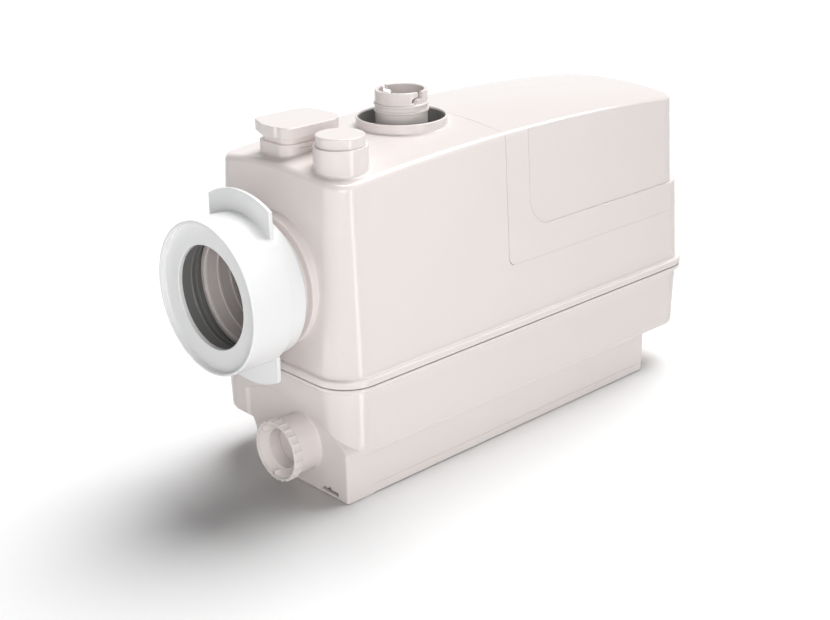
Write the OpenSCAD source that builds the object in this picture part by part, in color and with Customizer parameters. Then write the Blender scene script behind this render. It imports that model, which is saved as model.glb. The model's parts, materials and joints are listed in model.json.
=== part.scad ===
// Compact sewage lifting station for one toilet and one shower.
// Millimetres, +Z up. The origin is on the floor, under the middle of the tank.
// +X runs along the tank, away from the toilet inlet. The long side that people see faces -Y.

/* [Tank] */
// Length of the tank over its walls at the seam
tank_l = 457; // [445:1:475]
// Depth of the tank over its walls at the seam
tank_w = 177; // [172:1:190]
// Radius of the tank's upright corners
tank_r = 29; // [24:1:32]
// Height of the seam between the two mouldings
seam_z = 103.5; // [100:0.5:108]
// Thickness of the moulded walls
wall = 3; // [2.6:0.1:3.6]
// Height of the tank's belly over the floor
belly_z = 39; // [37:0.5:42]
// How far the flange lips stand out
lip = 4.5; // [3:0.5:6]
// Height of the upper flange lip
lip_up = 6; // [4:0.5:8]
// Height of the lower flange lip
lip_down = 4; // [3:0.5:6]
// Thickness of the squeezed seam gasket
gasket_t = 1; // [0.6:0.1:1.6]
// Inward slope of the upper walls over their whole height
upper_draft = 10; // [6:0.5:12]
// Inward slope of the lower walls over their whole height
lower_draft = 1.5; // [0.5:0.5:3]

/* [Foot] */
// Length of the sump that stands on the floor
foot_l = 394; // [380:1:400]
// Depth of the sump that stands on the floor
foot_w = 120; // [112:1:124]
// Set-back of the foot behind the tank's left and front walls
foot_inset = 3; // [2:0.5:4]
// Radius of the foot's upright corners
foot_r = 5; // [3:0.5:8]
// Height of the hollow skirt below the sump floor
skirt_h = 9; // [8:0.5:11]
// Length of each floor bracket slot
slot_l = 23; // [18:1:28]
// Height of each floor bracket slot
slot_h = 3.4; // [3:0.1:4]
// Radius of the arched apron round the shower stub
apron_r = 115; // [105:1:125]
// Top of the arched apron
apron_top = 77.5; // [74:0.5:80]

/* [Cover] */
// Height of the highest point of the roof
crest_z = 287; // [280:1:292]
// Place of the highest point along the length
crest_x = 5; // [-10:1:20]
// Radius of the roof's crown across the depth
crown_r = 427; // [400:1:500]
// Radius of the roof's arch along the length
arch_r = 2420; // [2000:10:3000]
// Radius of the long roof edges
edge_r = 6; // [4:0.5:8]
// Radius of the roof edge over the motor end
end_r = 14; // [10:1:18]
// Place of the upright split between housing and motor cover
split_x = -31; // [-34:1:-28]
// Height of the level split between housing and motor cover
split_z = 161; // [158:1:165]
// Gap in the split line
split_gap = 0.5; // [0.3:0.1:0.8]
// Left edge of the sunk panel in the motor cover
panel_x = -2; // [-8:1:4]
// Lower edge of the sunk panel in the motor cover
panel_z = 189; // [186:1:194]
// Depth of the sunk panel on the long sides
panel_side = 1.2; // [0.8:0.1:1.6]
// Depth of the sunk panel round the motor end
panel_end = 6; // [4:0.5:7]

/* [Toilet inlet] */
// Height of the toilet inlet over the floor
wc_z = 180; // [176:1:184]
// Radius of the hole that takes the toilet's spigot
wc_hole_r = 43.5; // [42:0.5:45]
// Outer radius of the inlet sleeve
sleeve_r = 64.4; // [62:0.2:66]
// Length of the inlet sleeve
sleeve_l = 58; // [55:0.5:63]
// Outer radius of the spigot that carries the sleeve
spigot_r = 51; // [50:0.5:52]
// Radius of the pull ears
ear_r = 83; // [80:1:90]
// Width of the pull ears
ear_w = 81; // [74:1:88]

/* [Shower inlet] */
// Height of the shower inlet over the floor
shower_z = 40.5; // [40:0.5:42]
// Place of the shower inlet across the depth
shower_y = -28.3; // [-32:0.1:-25]
// Outer radius of the shower stub
stub_r = 25; // [24:0.5:26]
// Outer radius of the valve ring on the stub
ring_r = 26.4; // [26:0.1:27]
// Distance from the apron to the front of the valve ring
stub_l = 30; // [28:1:34]

/* [Top fittings] */
// Place of the discharge pipe along the length
out_x = -78; // [-80:1:-74]
// Outer radius of the discharge pipe
out_r = 22.9; // [22:0.1:23.4]
// Bore radius of the discharge pipe
out_bore = 19.5; // [18.5:0.1:20]
// Top of the discharge pipe
out_top = 315; // [310:1:320]
// Outer radius of the recess wall round the pipe
recess_r = 40; // [38:0.5:41]
// Top of the recess wall
recess_top = 292; // [290:0.5:294]
// Floor of the recess
recess_floor = 266; // [262:1:270]
// Distance from the left wall to the spare inlet's axis
port_in = 39.5; // [38:0.5:44]
// Place of the spare inlet across the depth
port_y = -48.5; // [-50:0.5:-44]
// Outer radius of the spare inlet
port_r = 22.4; // [21:0.2:23]
// Top edge of the spare inlet
port_top = 295.4; // [293:0.2:297]
// Bore radius of the spare inlet
port_bore = 18.3; // [17:0.1:19]
// Top of the spare inlet's cap
cap_top = 304.2; // [302:0.2:307]
// Distance from the left wall to the middle of the vent lid
lid_in = 49.5; // [46:0.5:54]
// Middle of the vent lid across the depth
lid_y = 20; // [16:1:24]
// Length of the vent lid
lid_l = 60; // [54:1:62]
// Depth of the vent lid
lid_w = 47; // [42:1:50]
// Top of the vent lid
lid_top = 304; // [302:0.5:307]
// Thickness of the vent lid
lid_t = 9; // [7:0.5:10]

/* [Motor and pump] */
// Distance from the right wall to the motor shaft
motor_in = 133.5; // [131:0.5:136]
// Radius of the motor shaft
shaft_r = 6; // [5:0.5:7]
// Outer radius of the motor's casing
can_r = 50; // [46:1:54]
// Height of the motor's casing
can_h = 98; // [90:1:104]
// Top of the deck under the motor
deck_z = 128; // [126:0.5:131]
// Outer radius of the impeller
impeller_r = 36; // [32:0.5:38]
// Number of impeller vanes
vane_n = 6; // [4:1:8]
// Radius that the cutter blades reach
knife_r = 20; // [18:0.5:22]
// Number of notches in the fixed cutter ring
notch_n = 12; // [8:1:16]
// Height of the pump's middle plane
pump_z = 70; // [69:0.5:73]
// Outer radius of the rising pipe
riser_r = 19; // [18:0.5:20]

/* [Hidden] */
$fn = 96;

// Clearances that belong to kinds of fit
run_fit = 0.05;    // shaft in a bearing or seal, per side
seat_fit = 0.1;    // round piece pushed into a seat, per side
slide_fit = 0.3;   // piece that slides on or off by hand, per side
skin_gap = 0.12;   // edge rounding that runs just outside a wall
eps = 0.01;

// Colours of the mouldings and the metals
shell_color = [0.94, 0.91, 0.90];
sleeve_color = [0.95, 0.95, 0.95];
rubber_color = [0.16, 0.16, 0.17];
steel_color = [0.72, 0.73, 0.74];
cast_color = [0.42, 0.43, 0.45];
dark_plastic = [0.22, 0.23, 0.25];
copper_color = [0.72, 0.42, 0.22];

// Planes and faces that several pieces share
upper_z = seam_z + gasket_t / 2;
lower_z = seam_z - gasket_t / 2;
flange_l = tank_l + 2 * lip;
flange_w = tank_w + 2 * lip;
flange_r = tank_r + lip;
draft_h = crest_z - upper_z;
roof_z = crest_z + 12;
left_x = -tank_l / 2 + foot_inset;
front_y = -tank_w / 2 + foot_inset;
foot_x = left_x + foot_l / 2;
foot_y = front_y + foot_w / 2;
sump_floor = skirt_h + wall;
belly_floor = belly_z + wall;

// Half length of the upper wall at height z
function wall_x(z) = tank_l / 2 - upper_draft * (z - upper_z) / draft_h;
// Half depth of the upper wall at height z
function wall_y(z) = tank_w / 2 - upper_draft * (z - upper_z) / draft_h;
// Height of the roof over the point x, y
function top_z(x, y) = crest_z - (x - crest_x) ^ 2 / (2 * arch_r) - y ^ 2 / (2 * crown_r);

// Shapes of the split and the rim under the motor cover
cover_corner_r = 8;
panel_corner_r = 27;
rim_t = 2;
rim_h = 7;

// Seam screws
post_r = 6.5;
post_h = 30;
well_r = 9;
well_cap = 5;
screw_r = 2.4;
post_places = [
    for (x = [-1, 0, 1], y = [-1, 1])
        [x * (tank_l / 2 - wall - 11), y * (tank_w / 2 - wall - (x == 0 ? 8.5 : 11))]
];
skirt_clear = 0.6;

// Toilet inlet
boss_r = 57.5;
boss_x = wall_x(wc_z - boss_r) + 3.5;
spigot_x = boss_x + 32;
sleeve_back = boss_x + 6;
sleeve_x = sleeve_back + sleeve_l;
shoulder_x = sleeve_back + 18.5;

// Shower inlet
ring_h = 9;
insert_r = 20.9;
insert_bore = 17.5;
insert_l = 19;
hinge_up = insert_bore + 2.2;
flap_x = left_x - stub_l + insert_l - 1;

// Top fittings
port_x = port_in - tank_l / 2;
lid_x = lid_in - tank_l / 2;
port_root = crest_z - 15;
grip_h = 15.2;
port_step = 0.4;
cap_skirt = 11;
filter_h = 14;
filter_z = lid_top - lid_t - 5 - filter_h;
valve_top = recess_floor - wall;
pipe_foot = valve_top - 14;
lead_h = 11;
bayonet_turn = -88;
lead_in = 0.4;
chamber_r = 27;
seat_z = valve_top - 47;
flap_hinge = 22;

// Pump: the rising pipe leaves the volute on a line that passes beside the shaft
motor_x = tank_l / 2 - motor_in;
pump_low = pump_z - riser_r;
pump_high = pump_z + riser_r;
outlet_off = 28;
outlet_angle = asin(outlet_off / (motor_x - out_x));
outlet_run = (motor_x - out_x) * cos(outlet_angle);
outlet_back = 270 - outlet_angle;
riser_run = outlet_run - 48;
bend_r = 32;
bend_step = 0.5;
joint_h = 28;
volute_r0 = impeller_r + 3;
volute_r1 = outlet_off + riser_r - 3;
impeller_h = 20;
impeller_z = pump_low + 8;
tail_r = 5;
seal_r = 12;
column_r = 20;
column_ring = 27;

// Motor on the deck
bearing_r = 14;
bearing_h = 8;
hub_r = 18;
hub_top = deck_z + 10;
shield_z = deck_z + can_h;
shaft_top = shield_z + bearing_h + 0.5;
slot_n = 24;
core_bore = 27;
core_h = can_h - 38;
core_z = deck_z + 24;

// Controls beside the motor
box_l = 54;
box_w = 124;
box_h = 84;
box_x = 7;
bell_x = 0;
bell_y = -46;
bell_r = 11;
nipple_r = 3;
switch_z = deck_z + 22;
cap_r = 17;
cap_h = 70;
cap_x = tank_l / 2 - wall - 25.5 - cap_r;
cap_y = 34;
gland_x = tank_l / 2 - 68.5;
gland_z = deck_z + 14;
gland_r = 8;
gland_out = wall_y(gland_z - 13) + 0.5;
gland_in = wall_y(gland_z + 13) - wall - 0.5;
cable_bore = 4.2;

// Rounded rectangle made of true arcs
module rounded(l, w, r) {
    square([l - 2 * r, w], center = true);
    square([l, w - 2 * r], center = true);
    for (x = [-1, 1], y = [-1, 1])
        translate([x * (l / 2 - r), y * (w / 2 - r)])
            circle(r);
}

// Upright slab with a rounded rectangle as its plan
module slab(l, w, r, z0, z1) {
    translate([0, 0, z0])
        linear_extrude(z1 - z0)
            rounded(l, w, r);
}

// Ring between two radii, standing on z = 0
module tube(ro, ri, h) {
    difference() {
        cylinder(r = ro, h = h);
        translate([0, 0, -1])
            cylinder(r = ri, h = h + 2);
    }
}

// Turns a shape that stands along +Z so that it points along -X
module along_minus_x() {
    rotate([0, -90, 0])
        children();
}

// Block with rounded corners whose walls lean in by d0 at z0 and by d1 at z1
module drafted_block(l, w, r, z0, z1, d0, d1) {
    rotate([90, 0, 90])
        translate([0, 0, r - l / 2])
            linear_extrude(l - 2 * r)
                polygon([[d0 - w / 2, z0], [w / 2 - d0, z0], [w / 2 - d1, z1], [d1 - w / 2, z1]]);
    rotate([90, 0, 0])
        translate([0, 0, r - w / 2])
            linear_extrude(w - 2 * r)
                polygon([[d0 - l / 2, z0], [l / 2 - d0, z0], [l / 2 - d1, z1], [d1 - l / 2, z1]]);
    for (x = [-1, 1], y = [-1, 1])
        translate([x * (l / 2 - r), y * (w / 2 - r), z0])
            cylinder(h = z1 - z0, r1 = r - d0, r2 = r - d1);
}

// Distance from the crown's top line down to the centre of an end arc of radius r at x
function arc_drop(x, r) = r + (x - crest_x) ^ 2 / (2 * arch_r);

// Roof with its two end edges: the arch is spun about a line along the length
module roof_barrel(t) {
    x0 = t - wall_x(crest_z - edge_r) - skin_gap;
    x1 = wall_x(crest_z - end_r) - panel_end + skin_gap - t;
    r0 = edge_r - t / 2;
    r1 = end_r - t;
    c0 = crown_r - t - arc_drop(x0 + r0, r0);
    c1 = crown_r - t - arc_drop(x1 - r1, r1);
    translate([0, 0, crest_z - crown_r])
        rotate([0, 90, 0])
            rotate_extrude($fn = 720)
                intersection() {
                    translate([crown_r - arch_r, crest_x])
                        circle(arch_r - t, $fn = 2400);
                    union() {
                        polygon([[0, x0 - 40], [c0 - 40, x0 - 28], [c0, x0], [c0, 0], [0, 0]]);
                        translate([c0, x0 + r0])
                            circle(r0);
                        translate([0, x0 + r0])
                            square([crown_r, x1 - r1 - x0 - r0]);
                        polygon([[0, 0], [c1, 0], [c1, x1], [c1 - 40, x1 + 28], [0, x1 + 40]]);
                        translate([c1, x1 - r1])
                            circle(r1);
                    }
                }
}

// Long edges of the roof: the crown is spun about a line across the depth
module roof_saddle(t) {
    y1 = wall_y(crest_z - 2 * edge_r) + skin_gap - t;
    r0 = edge_r - t / 2;
    rim = arch_r - t - r0 - (y1 - r0) ^ 2 / (2 * crown_r) + skin_gap;
    low = arch_r - 220;
    translate([crest_x, 0, crest_z - arch_r])
        rotate([-90, 0, 0])
            rotate([0, 0, -97])
                rotate_extrude(angle = 14, $fn = 1440)
                    intersection() {
                        translate([arch_r - crown_r, 0])
                            circle(crown_r - t + skin_gap, $fn = 720);
                        union() {
                            polygon([
                                [low, -y1 - 40], [rim - 20, -y1 - 4], [rim, -y1],
                                [rim, y1], [rim - 20, y1 + 4], [low, y1 + 40]
                            ]);
                            translate([rim - 1, r0 - y1])
                                square([20, 2 * (y1 - r0)]);
                            for (s = [-1, 1])
                                translate([rim, s * (y1 - r0)])
                                    circle(r0);
                        }
                    }
}

// Outer form of the closed upper half, moved in by t
module upper_form(t) {
    intersection() {
        drafted_block(tank_l - 2 * t, tank_w - 2 * t, tank_r - t, upper_z, roof_z,
            0, upper_draft * (roof_z - upper_z) / draft_h);
        roof_barrel(t);
        roof_saddle(t);
    }
}

// Lifts a profile drawn in x and z across the whole depth
module across(depth = 300) {
    rotate([90, 0, 0])
        linear_extrude(depth, center = true)
            children();
}

// Area right of x and above z, with one rounded corner
module corner_area(x, z, r) {
    translate([x + r, z])
        square([400, 300]);
    translate([x, z + r])
        square([400, 300]);
    translate([x + r, z + r])
        circle(r);
}

// Roof and walls behind the sunk panel, moved in by t
module panel_form(t) {
    side = panel_side + t;
    translate([-panel_end, 0, 0])
        drafted_block(tank_l - 2 * t, tank_w - 2 * side, tank_r - side, upper_z, roof_z,
            0, upper_draft * (roof_z - upper_z) / draft_h);
}

// Closed solid of the motor cover with its sunk panel, moved in by t
module cover_form(t) {
    difference() {
        intersection() {
            upper_form(t);
            across()
                corner_area(split_x + split_gap, split_z + split_gap, cover_corner_r);
        }
        difference() {
            across()
                corner_area(panel_x + t, panel_z - t, panel_corner_r);
            panel_form(t);
        }
    }
}

module motor_cover() {
    color(shell_color)
        difference() {
            cover_form(0);
            intersection() {
                upper_form(wall);
                union() {
                    translate([0, 0, -wall])
                        panel_form(wall);
                    difference() {
                        across()
                            translate([-100, 0])
                                square([500, 400]);
                        across()
                            corner_area(panel_x - wall, panel_z - wall, panel_corner_r);
                    }
                }
            }
        }
}

// Everything left of the split or below it, down to the rim's foot
module below_rim() {
    across()
        polygon([
            [-400, 0], [400, 0], [400, split_z - rim_h], [split_x - eps, split_z - rim_h],
            [split_x - eps, 400], [-400, 400]
        ]);
}

// Rim that the motor cover drops over: a band inside the wall, rooted in it below the split
module cover_rim() {
    difference() {
        upper_form(wall - eps);
        upper_form(wall + slide_fit + rim_t);
        below_rim();
        across()
            translate([split_x - 1, split_z])
                square([400, 300]);
    }
    difference() {
        upper_form(wall + slide_fit);
        upper_form(wall + slide_fit + rim_t);
        below_rim();
        across()
            translate([split_x + rim_h, split_z + rim_h])
                square([400, 300]);
    }
}

// Air space inside the upper housing, without deck and bulkhead
module upper_hollow() {
    difference() {
        upper_form(wall);
        translate([split_x - wall, -200, deck_z - wall])
            cube([wall, 400, 300]);
        translate([split_x - wall, -200, deck_z - wall])
            cube([400, 400, wall]);
    }
}

// Post of a seam screw, from the seam into the upper moulding
module seam_posts(r, z0, z1) {
    for (p = post_places)
        translate([p.x, p.y, z0])
            cylinder(r = r, h = z1 - z0);
}

module upper_housing() {
    color(shell_color)
        difference() {
            union() {
                difference() {
                    upper_form(0);
                    upper_hollow();
                    across()
                        corner_area(split_x, split_z, cover_corner_r - split_gap);
                }
                cover_rim();
                // Flange lip, open over the inside of the walls
                difference() {
                    slab(flange_l, flange_w, flange_r, upper_z, upper_z + lip_up);
                    slab(tank_l - 2 * wall, tank_w - 2 * wall, tank_r - wall, upper_z - 1, upper_z + lip_up + 1);
                }
                seam_posts(post_r, upper_z, upper_z + post_h);
                // Boss and spigot of the toilet inlet
                translate([-boss_x, 0, wc_z])
                    rotate([0, 90, 0]) {
                        cylinder(r = boss_r, h = boss_x - wall_x(wc_z + boss_r) + 2);
                        translate([0, 0, boss_x - spigot_x])
                            cylinder(r = spigot_r, h = spigot_x - wall_x(wc_z + boss_r) + 8);
                    }
                // Recess round the discharge pipe
                translate([out_x, 0, recess_floor - wall])
                    cylinder(r = recess_r, h = recess_top - recess_floor + wall);
                // Spare inlet
                translate([port_x, port_y, port_root]) {
                    cylinder(r = port_r, h = port_top - port_root);
                    // Stop for a sleeve pushed over it
                    cylinder(r = port_r + port_step, h = port_top - grip_h - port_root);
                    cylinder(r = port_r + 1, h = 6);
                }
                // Neck of the vent
                translate([lid_x, lid_y, 0]) {
                    slab(lid_l - 5, lid_w - 5, 11, port_root, lid_top - lid_t - 7);
                    slab(lid_l - 10, lid_w - 10, 9, port_root, lid_top - lid_t);
                }
                // Bearing hub on the deck
                translate([motor_x, 0, deck_z - wall])
                    cylinder(r = hub_r, h = hub_top - deck_z + wall);
                // Flat pad for the cable gland
                translate([gland_x, gland_in, gland_z])
                    rotate([-90, 0, 0])
                        cylinder(r = 12.5, h = gland_out - gland_in);
            }
            translate([-sleeve_x, 0, wc_z])
                rotate([0, 90, 0])
                    cylinder(r = spigot_r - 4, h = sleeve_x - wall_x(wc_z) + 40);
            translate([out_x, 0, recess_floor])
                cylinder(r = recess_r - 2, h = 60);
            translate([out_x, 0, recess_floor - 10])
                cylinder(r = out_r + slide_fit, h = 20);
            translate([port_x, port_y, port_root - 10])
                cylinder(r = port_bore, h = 60);
            translate([lid_x, lid_y, 0]) {
                slab(lid_l - 16, lid_w - 16, 6, filter_z, lid_top);
                slab(lid_l - 22, lid_w - 22, 4, port_root - 10, lid_top);
            }
            translate([motor_x, 0, hub_top - bearing_h - 1])
                cylinder(r = bearing_r + seat_fit, h = 30);
            translate([motor_x, 0, deck_z - 20])
                cylinder(r = shaft_r + 2, h = 60);
            seam_posts(screw_r + run_fit, upper_z - 1, upper_z + post_h - 4);
            column_screw_holes(deck_z - wall - 1, deck_z + 1);
            translate([bell_x, bell_y, deck_z - 20])
                cylinder(r = nipple_r + slide_fit, h = 40);
            translate([gland_x, 0, gland_z])
                rotate([-90, 0, 0])
                    cylinder(r = gland_r + slide_fit, h = 200);
        }
}

// Apron round the shower stub: an arch that stands on the foot
module apron_area() {
    intersection() {
        translate([-5, apron_top - apron_r])
            circle(apron_r, $fn = 240);
        translate([front_y, 0])
            square([foot_w + 8, apron_top + 1]);
    }
}

// Lifts a profile drawn in y and z along the length, from x0 to x1
module along(x0, x1) {
    translate([x0, 0, 0])
        rotate([90, 0, 90])
            linear_extrude(x1 - x0)
                children();
}

module foot_block(t, z0, z1) {
    translate([foot_x, foot_y, 0])
        slab(foot_l - 2 * t, foot_w - 2 * t, max(foot_r - t, 1), z0, z1);
}

module belly(t, z0) {
    drafted_block(tank_l - 2 * t, tank_w - 2 * t, tank_r - t, z0, lower_z + 1, lower_draft, 0);
}

module bracket_slots() {
    for (x = [foot_x - foot_l / 2, foot_x + foot_l / 2])
        translate([x, front_y + 12.5 + slot_l / 2, 2.8]) {
            translate([-2 * wall, -slot_l / 2, 0])
                cube([4 * wall, slot_l, slot_h]);
            translate([-2 * wall, -2, 0])
                cube([4 * wall, 4, slot_h + 2]);
        }
}

module lower_tank() {
    color(shell_color)
        difference() {
            union() {
                difference() {
                    union() {
                        difference() {
                            belly(0, belly_z);
                            along(left_x - 20, left_x)
                                apron_area();
                        }
                        foot_block(0, skirt_clear, belly_z + 1);
                        along(left_x, left_x + tank_r)
                            apron_area();
                    }
                    difference() {
                        union() {
                            belly(wall, belly_floor);
                            foot_block(wall + 1, sump_floor, belly_floor + 1);
                        }
                        along(left_x - 20, left_x + wall)
                            apron_area();
                    }
                    foot_block(wall, -1, skirt_h);
                    translate([0, 0, lower_z])
                        linear_extrude(10)
                            square(600, center = true);
                }
                difference() {
                    slab(flange_l, flange_w, flange_r, lower_z - lip_down, lower_z);
                    slab(tank_l - 2 * wall, tank_w - 2 * wall, tank_r - wall, 0, seam_z + 1);
                }
                intersection() {
                    seam_posts(well_r, skirt_h, seam_z);
                    union() {
                        belly(0, belly_z);
                        foot_block(0, skirt_h, belly_z + 1);
                    }
                    translate([0, 0, -1])
                        linear_extrude(lower_z + 1)
                            square(600, center = true);
                }
                translate([left_x - stub_l + ring_h, shower_y, shower_z])
                    rotate([0, 90, 0])
                        cylinder(r = stub_r, h = stub_l - ring_h + wall);
            }
            seam_posts(well_r - 3.5, -1, lower_z - well_cap);
            seam_posts(screw_r + run_fit, -1, lower_z + 1);
            translate([left_x - stub_l, shower_y, shower_z])
                rotate([0, 90, 0])
                    cylinder(r = insert_r + seat_fit, h = stub_l + 10);
            translate([flap_x, shower_y, shower_z])
                rotate([0, 90, 0])
                    cylinder(r = stub_r - 2, h = 40);
            bracket_slots();
            // Shadow line round the skirt
            difference() {
                foot_block(-1, skirt_h - 0.4, skirt_h + 0.4);
                foot_block(0.6, skirt_h - 1, skirt_h + 1);
            }
        }
}

module tank_gasket() {
    color(rubber_color)
        difference() {
            slab(flange_l - 2.4, flange_w - 2.4, flange_r - 1.2, lower_z, upper_z);
            slab(tank_l - 2 * wall, tank_w - 2 * wall, tank_r - wall, lower_z - 1, upper_z + 1);
        }
}

// Round-headed screw along +Z, its head's seat at z = 0 and its shank above
module screw(r, len, head_r, head_h) {
    cylinder(r = r, h = len);
    translate([0, 0, -head_h])
        difference() {
            cylinder(r = head_r, h = head_h);
            translate([0, 0, -1])
                cylinder(r = r * 0.9, h = head_h * 0.5 + 1, $fn = 6);
        }
}

module tank_screws() {
    color(steel_color)
        for (p = post_places)
            translate([p.x, p.y, lower_z - well_cap])
                screw(screw_r, well_cap + post_h - 6, well_r - 4.2, 3.5);
}

module rubber_feet() {
    corners = [for (x = [-1, 1], y = [-1, 1])
        [foot_x + x * (foot_l / 2 - 24), foot_y + y * (foot_w / 2 - 22), 0]];
    // The fifth stands under the tank's middle
    color(rubber_color)
        for (p = concat(corners, [[0, 0, 0]]))
            translate(p)
                cylinder(r1 = 11, r2 = 12, h = skirt_h);
}

module wc_sleeve() {
    face = sleeve_x - 5;
    bore = spigot_r + slide_fit;
    color(sleeve_color)
        translate([0, 0, wc_z])
            along_minus_x() {
                rotate_extrude()
                    polygon([
                        [bore, sleeve_back], [boss_r, sleeve_back], [sleeve_r - 4, sleeve_back + 3.5],
                        [sleeve_r - 4, shoulder_x], [sleeve_r, shoulder_x], [sleeve_r, sleeve_x],
                        [sleeve_r - 2.4, sleeve_x], [sleeve_r - 2.4, face], [wc_hole_r, face],
                        [wc_hole_r, face - 4], [sleeve_r - 4, face - 4], [sleeve_r - 4, shoulder_x + 2],
                        [bore, shoulder_x + 2]
                    ]);
                translate([0, 0, shoulder_x])
                    intersection() {
                        tube(ear_r, sleeve_r - 1, 3.5);
                        translate([-100, -ear_w / 2, 0])
                            cube([200, ear_w, 3.5]);
                    }
            }
}

// Lip seal inside the sleeve: one lip on the spigot and three on the toilet's outlet
module wc_seal() {
    face = sleeve_x - 9 - seat_fit;
    back = shoulder_x + 2 + seat_fit;
    ro = sleeve_r - 4 - seat_fit;
    front = spigot_x + 1.5;
    color(rubber_color)
        translate([0, 0, wc_z])
            along_minus_x()
                rotate_extrude()
                    polygon(concat(
                        [[spigot_r + slide_fit, back], [ro, back], [ro, face], [wc_hole_r + 1.5, face]],
                        [for (i = [0 : 2], k = [0 : 1])
                            [wc_hole_r + (k == 0 ? 2 : 6.5), face - 2.5 - i * 5.5 - k * 3]],
                        [[wc_hole_r + 6.5, front], [spigot_r + slide_fit, front]]
                    ));
}

module shower_valve_ring() {
    color(shell_color)
        translate([left_x - stub_l, shower_y, shower_z])
            rotate([0, 90, 0])
                difference() {
                    union() {
                        cylinder(r = ring_r, h = ring_h - seat_fit);
                        // Finger grips round the rim
                        for (a = [0 : 15 : 345])
                            rotate([0, 0, a])
                                translate([ring_r - 0.5, 0, 1])
                                    cylinder(r = 0.9, h = ring_h - 1.5, $fn = 24);
                        cylinder(r = insert_r, h = insert_l);
                        // Ears for the flap's pin
                        for (s = [-1, 1])
                            translate([-hinge_up, s * 5.7, insert_l + 2.4])
                                rotate([90, 0, 0])
                                    linear_extrude(2.6, center = true) {
                                        circle(2);
                                        translate([-2, -3])
                                            square([4, 3]);
                                    }
                    }
                    translate([0, 0, -1])
                        cylinder(r = insert_bore, h = insert_l + 2);
                    translate([0, 0, -1])
                        cylinder(r = ring_r - 2.2, h = 4.5);
                    translate([-hinge_up, 0, insert_l + 2.4])
                        rotate([90, 0, 0])
                            cylinder(r = 1.2 + run_fit, h = 30, center = true, $fn = 32);
                }
}

module shower_flap() {
    color(shell_color)
        translate([left_x - stub_l + insert_l, shower_y, shower_z])
            rotate([0, 90, 0])
                difference() {
                    union() {
                        translate([0, 0, seat_fit])
                            cylinder(r = insert_bore + 0.8, h = 2.2);
                        translate([-hinge_up, 0, 2.4])
                            rotate([90, 0, 0])
                                linear_extrude(8, center = true) {
                                    circle(2);
                                    translate([0, -2.3])
                                        square([6, 3.4]);
                                }
                    }
                    translate([-hinge_up, 0, 2.4])
                        rotate([90, 0, 0])
                            cylinder(r = 1.2 + run_fit, h = 30, center = true, $fn = 32);
                    // Notches that clear the ring's ears
                    for (s = [-1, 1])
                        translate([-hinge_up - 3, s * 5.7 - 1.6, -1])
                            cube([5.3, 3.2, 5]);
                }
}

module shower_flap_pin() {
    color(steel_color)
        translate([left_x - stub_l + insert_l + 2.4, shower_y, shower_z + hinge_up])
            rotate([90, 0, 0])
                cylinder(r = 1.2, h = 14, center = true, $fn = 32);
}

module port_cap() {
    skirt_r = port_bore - slide_fit;
    color(shell_color)
        translate([port_x, port_y, 0])
            difference() {
                union() {
                    translate([0, 0, port_top])
                        cylinder(r = port_r - 2.2, h = cap_top - port_top);
                    translate([0, 0, port_top - cap_skirt])
                        cylinder(r = skirt_r, h = cap_skirt + 1);
                }
                translate([0, 0, port_top - cap_skirt - 1])
                    cylinder(r = skirt_r - 4.6, h = cap_skirt + 4);
                translate([0, 0, port_top - 7])
                    tube(skirt_r + 1, skirt_r - 2.2, 2.6);
            }
}

module port_seal() {
    color(rubber_color)
        translate([port_x, port_y, port_top - 5.7])
            rotate_extrude()
                translate([port_bore - slide_fit - 1.05, 0])
                    circle(1.1, $fn = 32);
}

module vent_lid() {
    under = lid_top - lid_t;
    color(shell_color)
        translate([lid_x, lid_y, 0])
            difference() {
                union() {
                    slab(lid_l, lid_w, 13, under, lid_top);
                    slab(lid_l + 6, lid_w - 20, 1.5, under, lid_top);
                    slab(lid_l - 16.6, lid_w - 16.6, 5.7, under - 4, under + 1);
                }
                slab(lid_l - 20, lid_w - 20, 4, under - 5, lid_top - 3);
            }
}

module carbon_filter() {
    color(dark_plastic)
        translate([lid_x, lid_y, 0])
            difference() {
                slab(lid_l - 16.4, lid_w - 16.4, 5.8, filter_z, filter_z + filter_h);
                for (x = [-2 : 2], y = [-1 : 1])
                    translate([x * 8, y * 7, filter_z - 1])
                        cylinder(r = 1.8, h = filter_h + 2, $fn = 32);
            }
}

module discharge_pipe() {
    color(shell_color)
        translate([out_x, 0, 0])
            difference() {
                union() {
                    translate([0, 0, pipe_foot])
                        cylinder(r = out_r, h = out_top - pipe_foot);
                    for (z = [recess_floor + 31.5, recess_floor + 37])
                        translate([0, 0, z])
                            rotate_extrude()
                                translate([out_r - 0.2, 0])
                                    circle(1.3, $fn = 32);
                }
                translate([0, 0, pipe_foot - 1])
                    cylinder(r = out_bore, h = out_top - pipe_foot + 2);
                // Lead-in behind the bayonet slots
                translate([0, 0, out_top - lead_h])
                    cylinder(r = out_bore + lead_in, h = lead_h + 1);
                translate([0, 0, pipe_foot + 6])
                    tube(out_r + 1, out_r - 2.3, 2.6);
                // Two bayonet slots, opposite each other
                for (a = [bayonet_turn, bayonet_turn + 180])
                    rotate([0, 0, a])
                        translate([out_bore - 3, 0, 0]) {
                            translate([0, -1.6, out_top - 8])
                                cube([10, 3.2, 10]);
                            translate([0, -8, out_top - 9])
                                cube([10, 9.6, 3.2]);
                        }
            }
}

module discharge_seal() {
    color(rubber_color)
        translate([out_x, 0, pipe_foot + 7.3])
            rotate_extrude()
                translate([out_r + seat_fit - 1.15, 0])
                    circle(1.1, $fn = 32);
}

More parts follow.
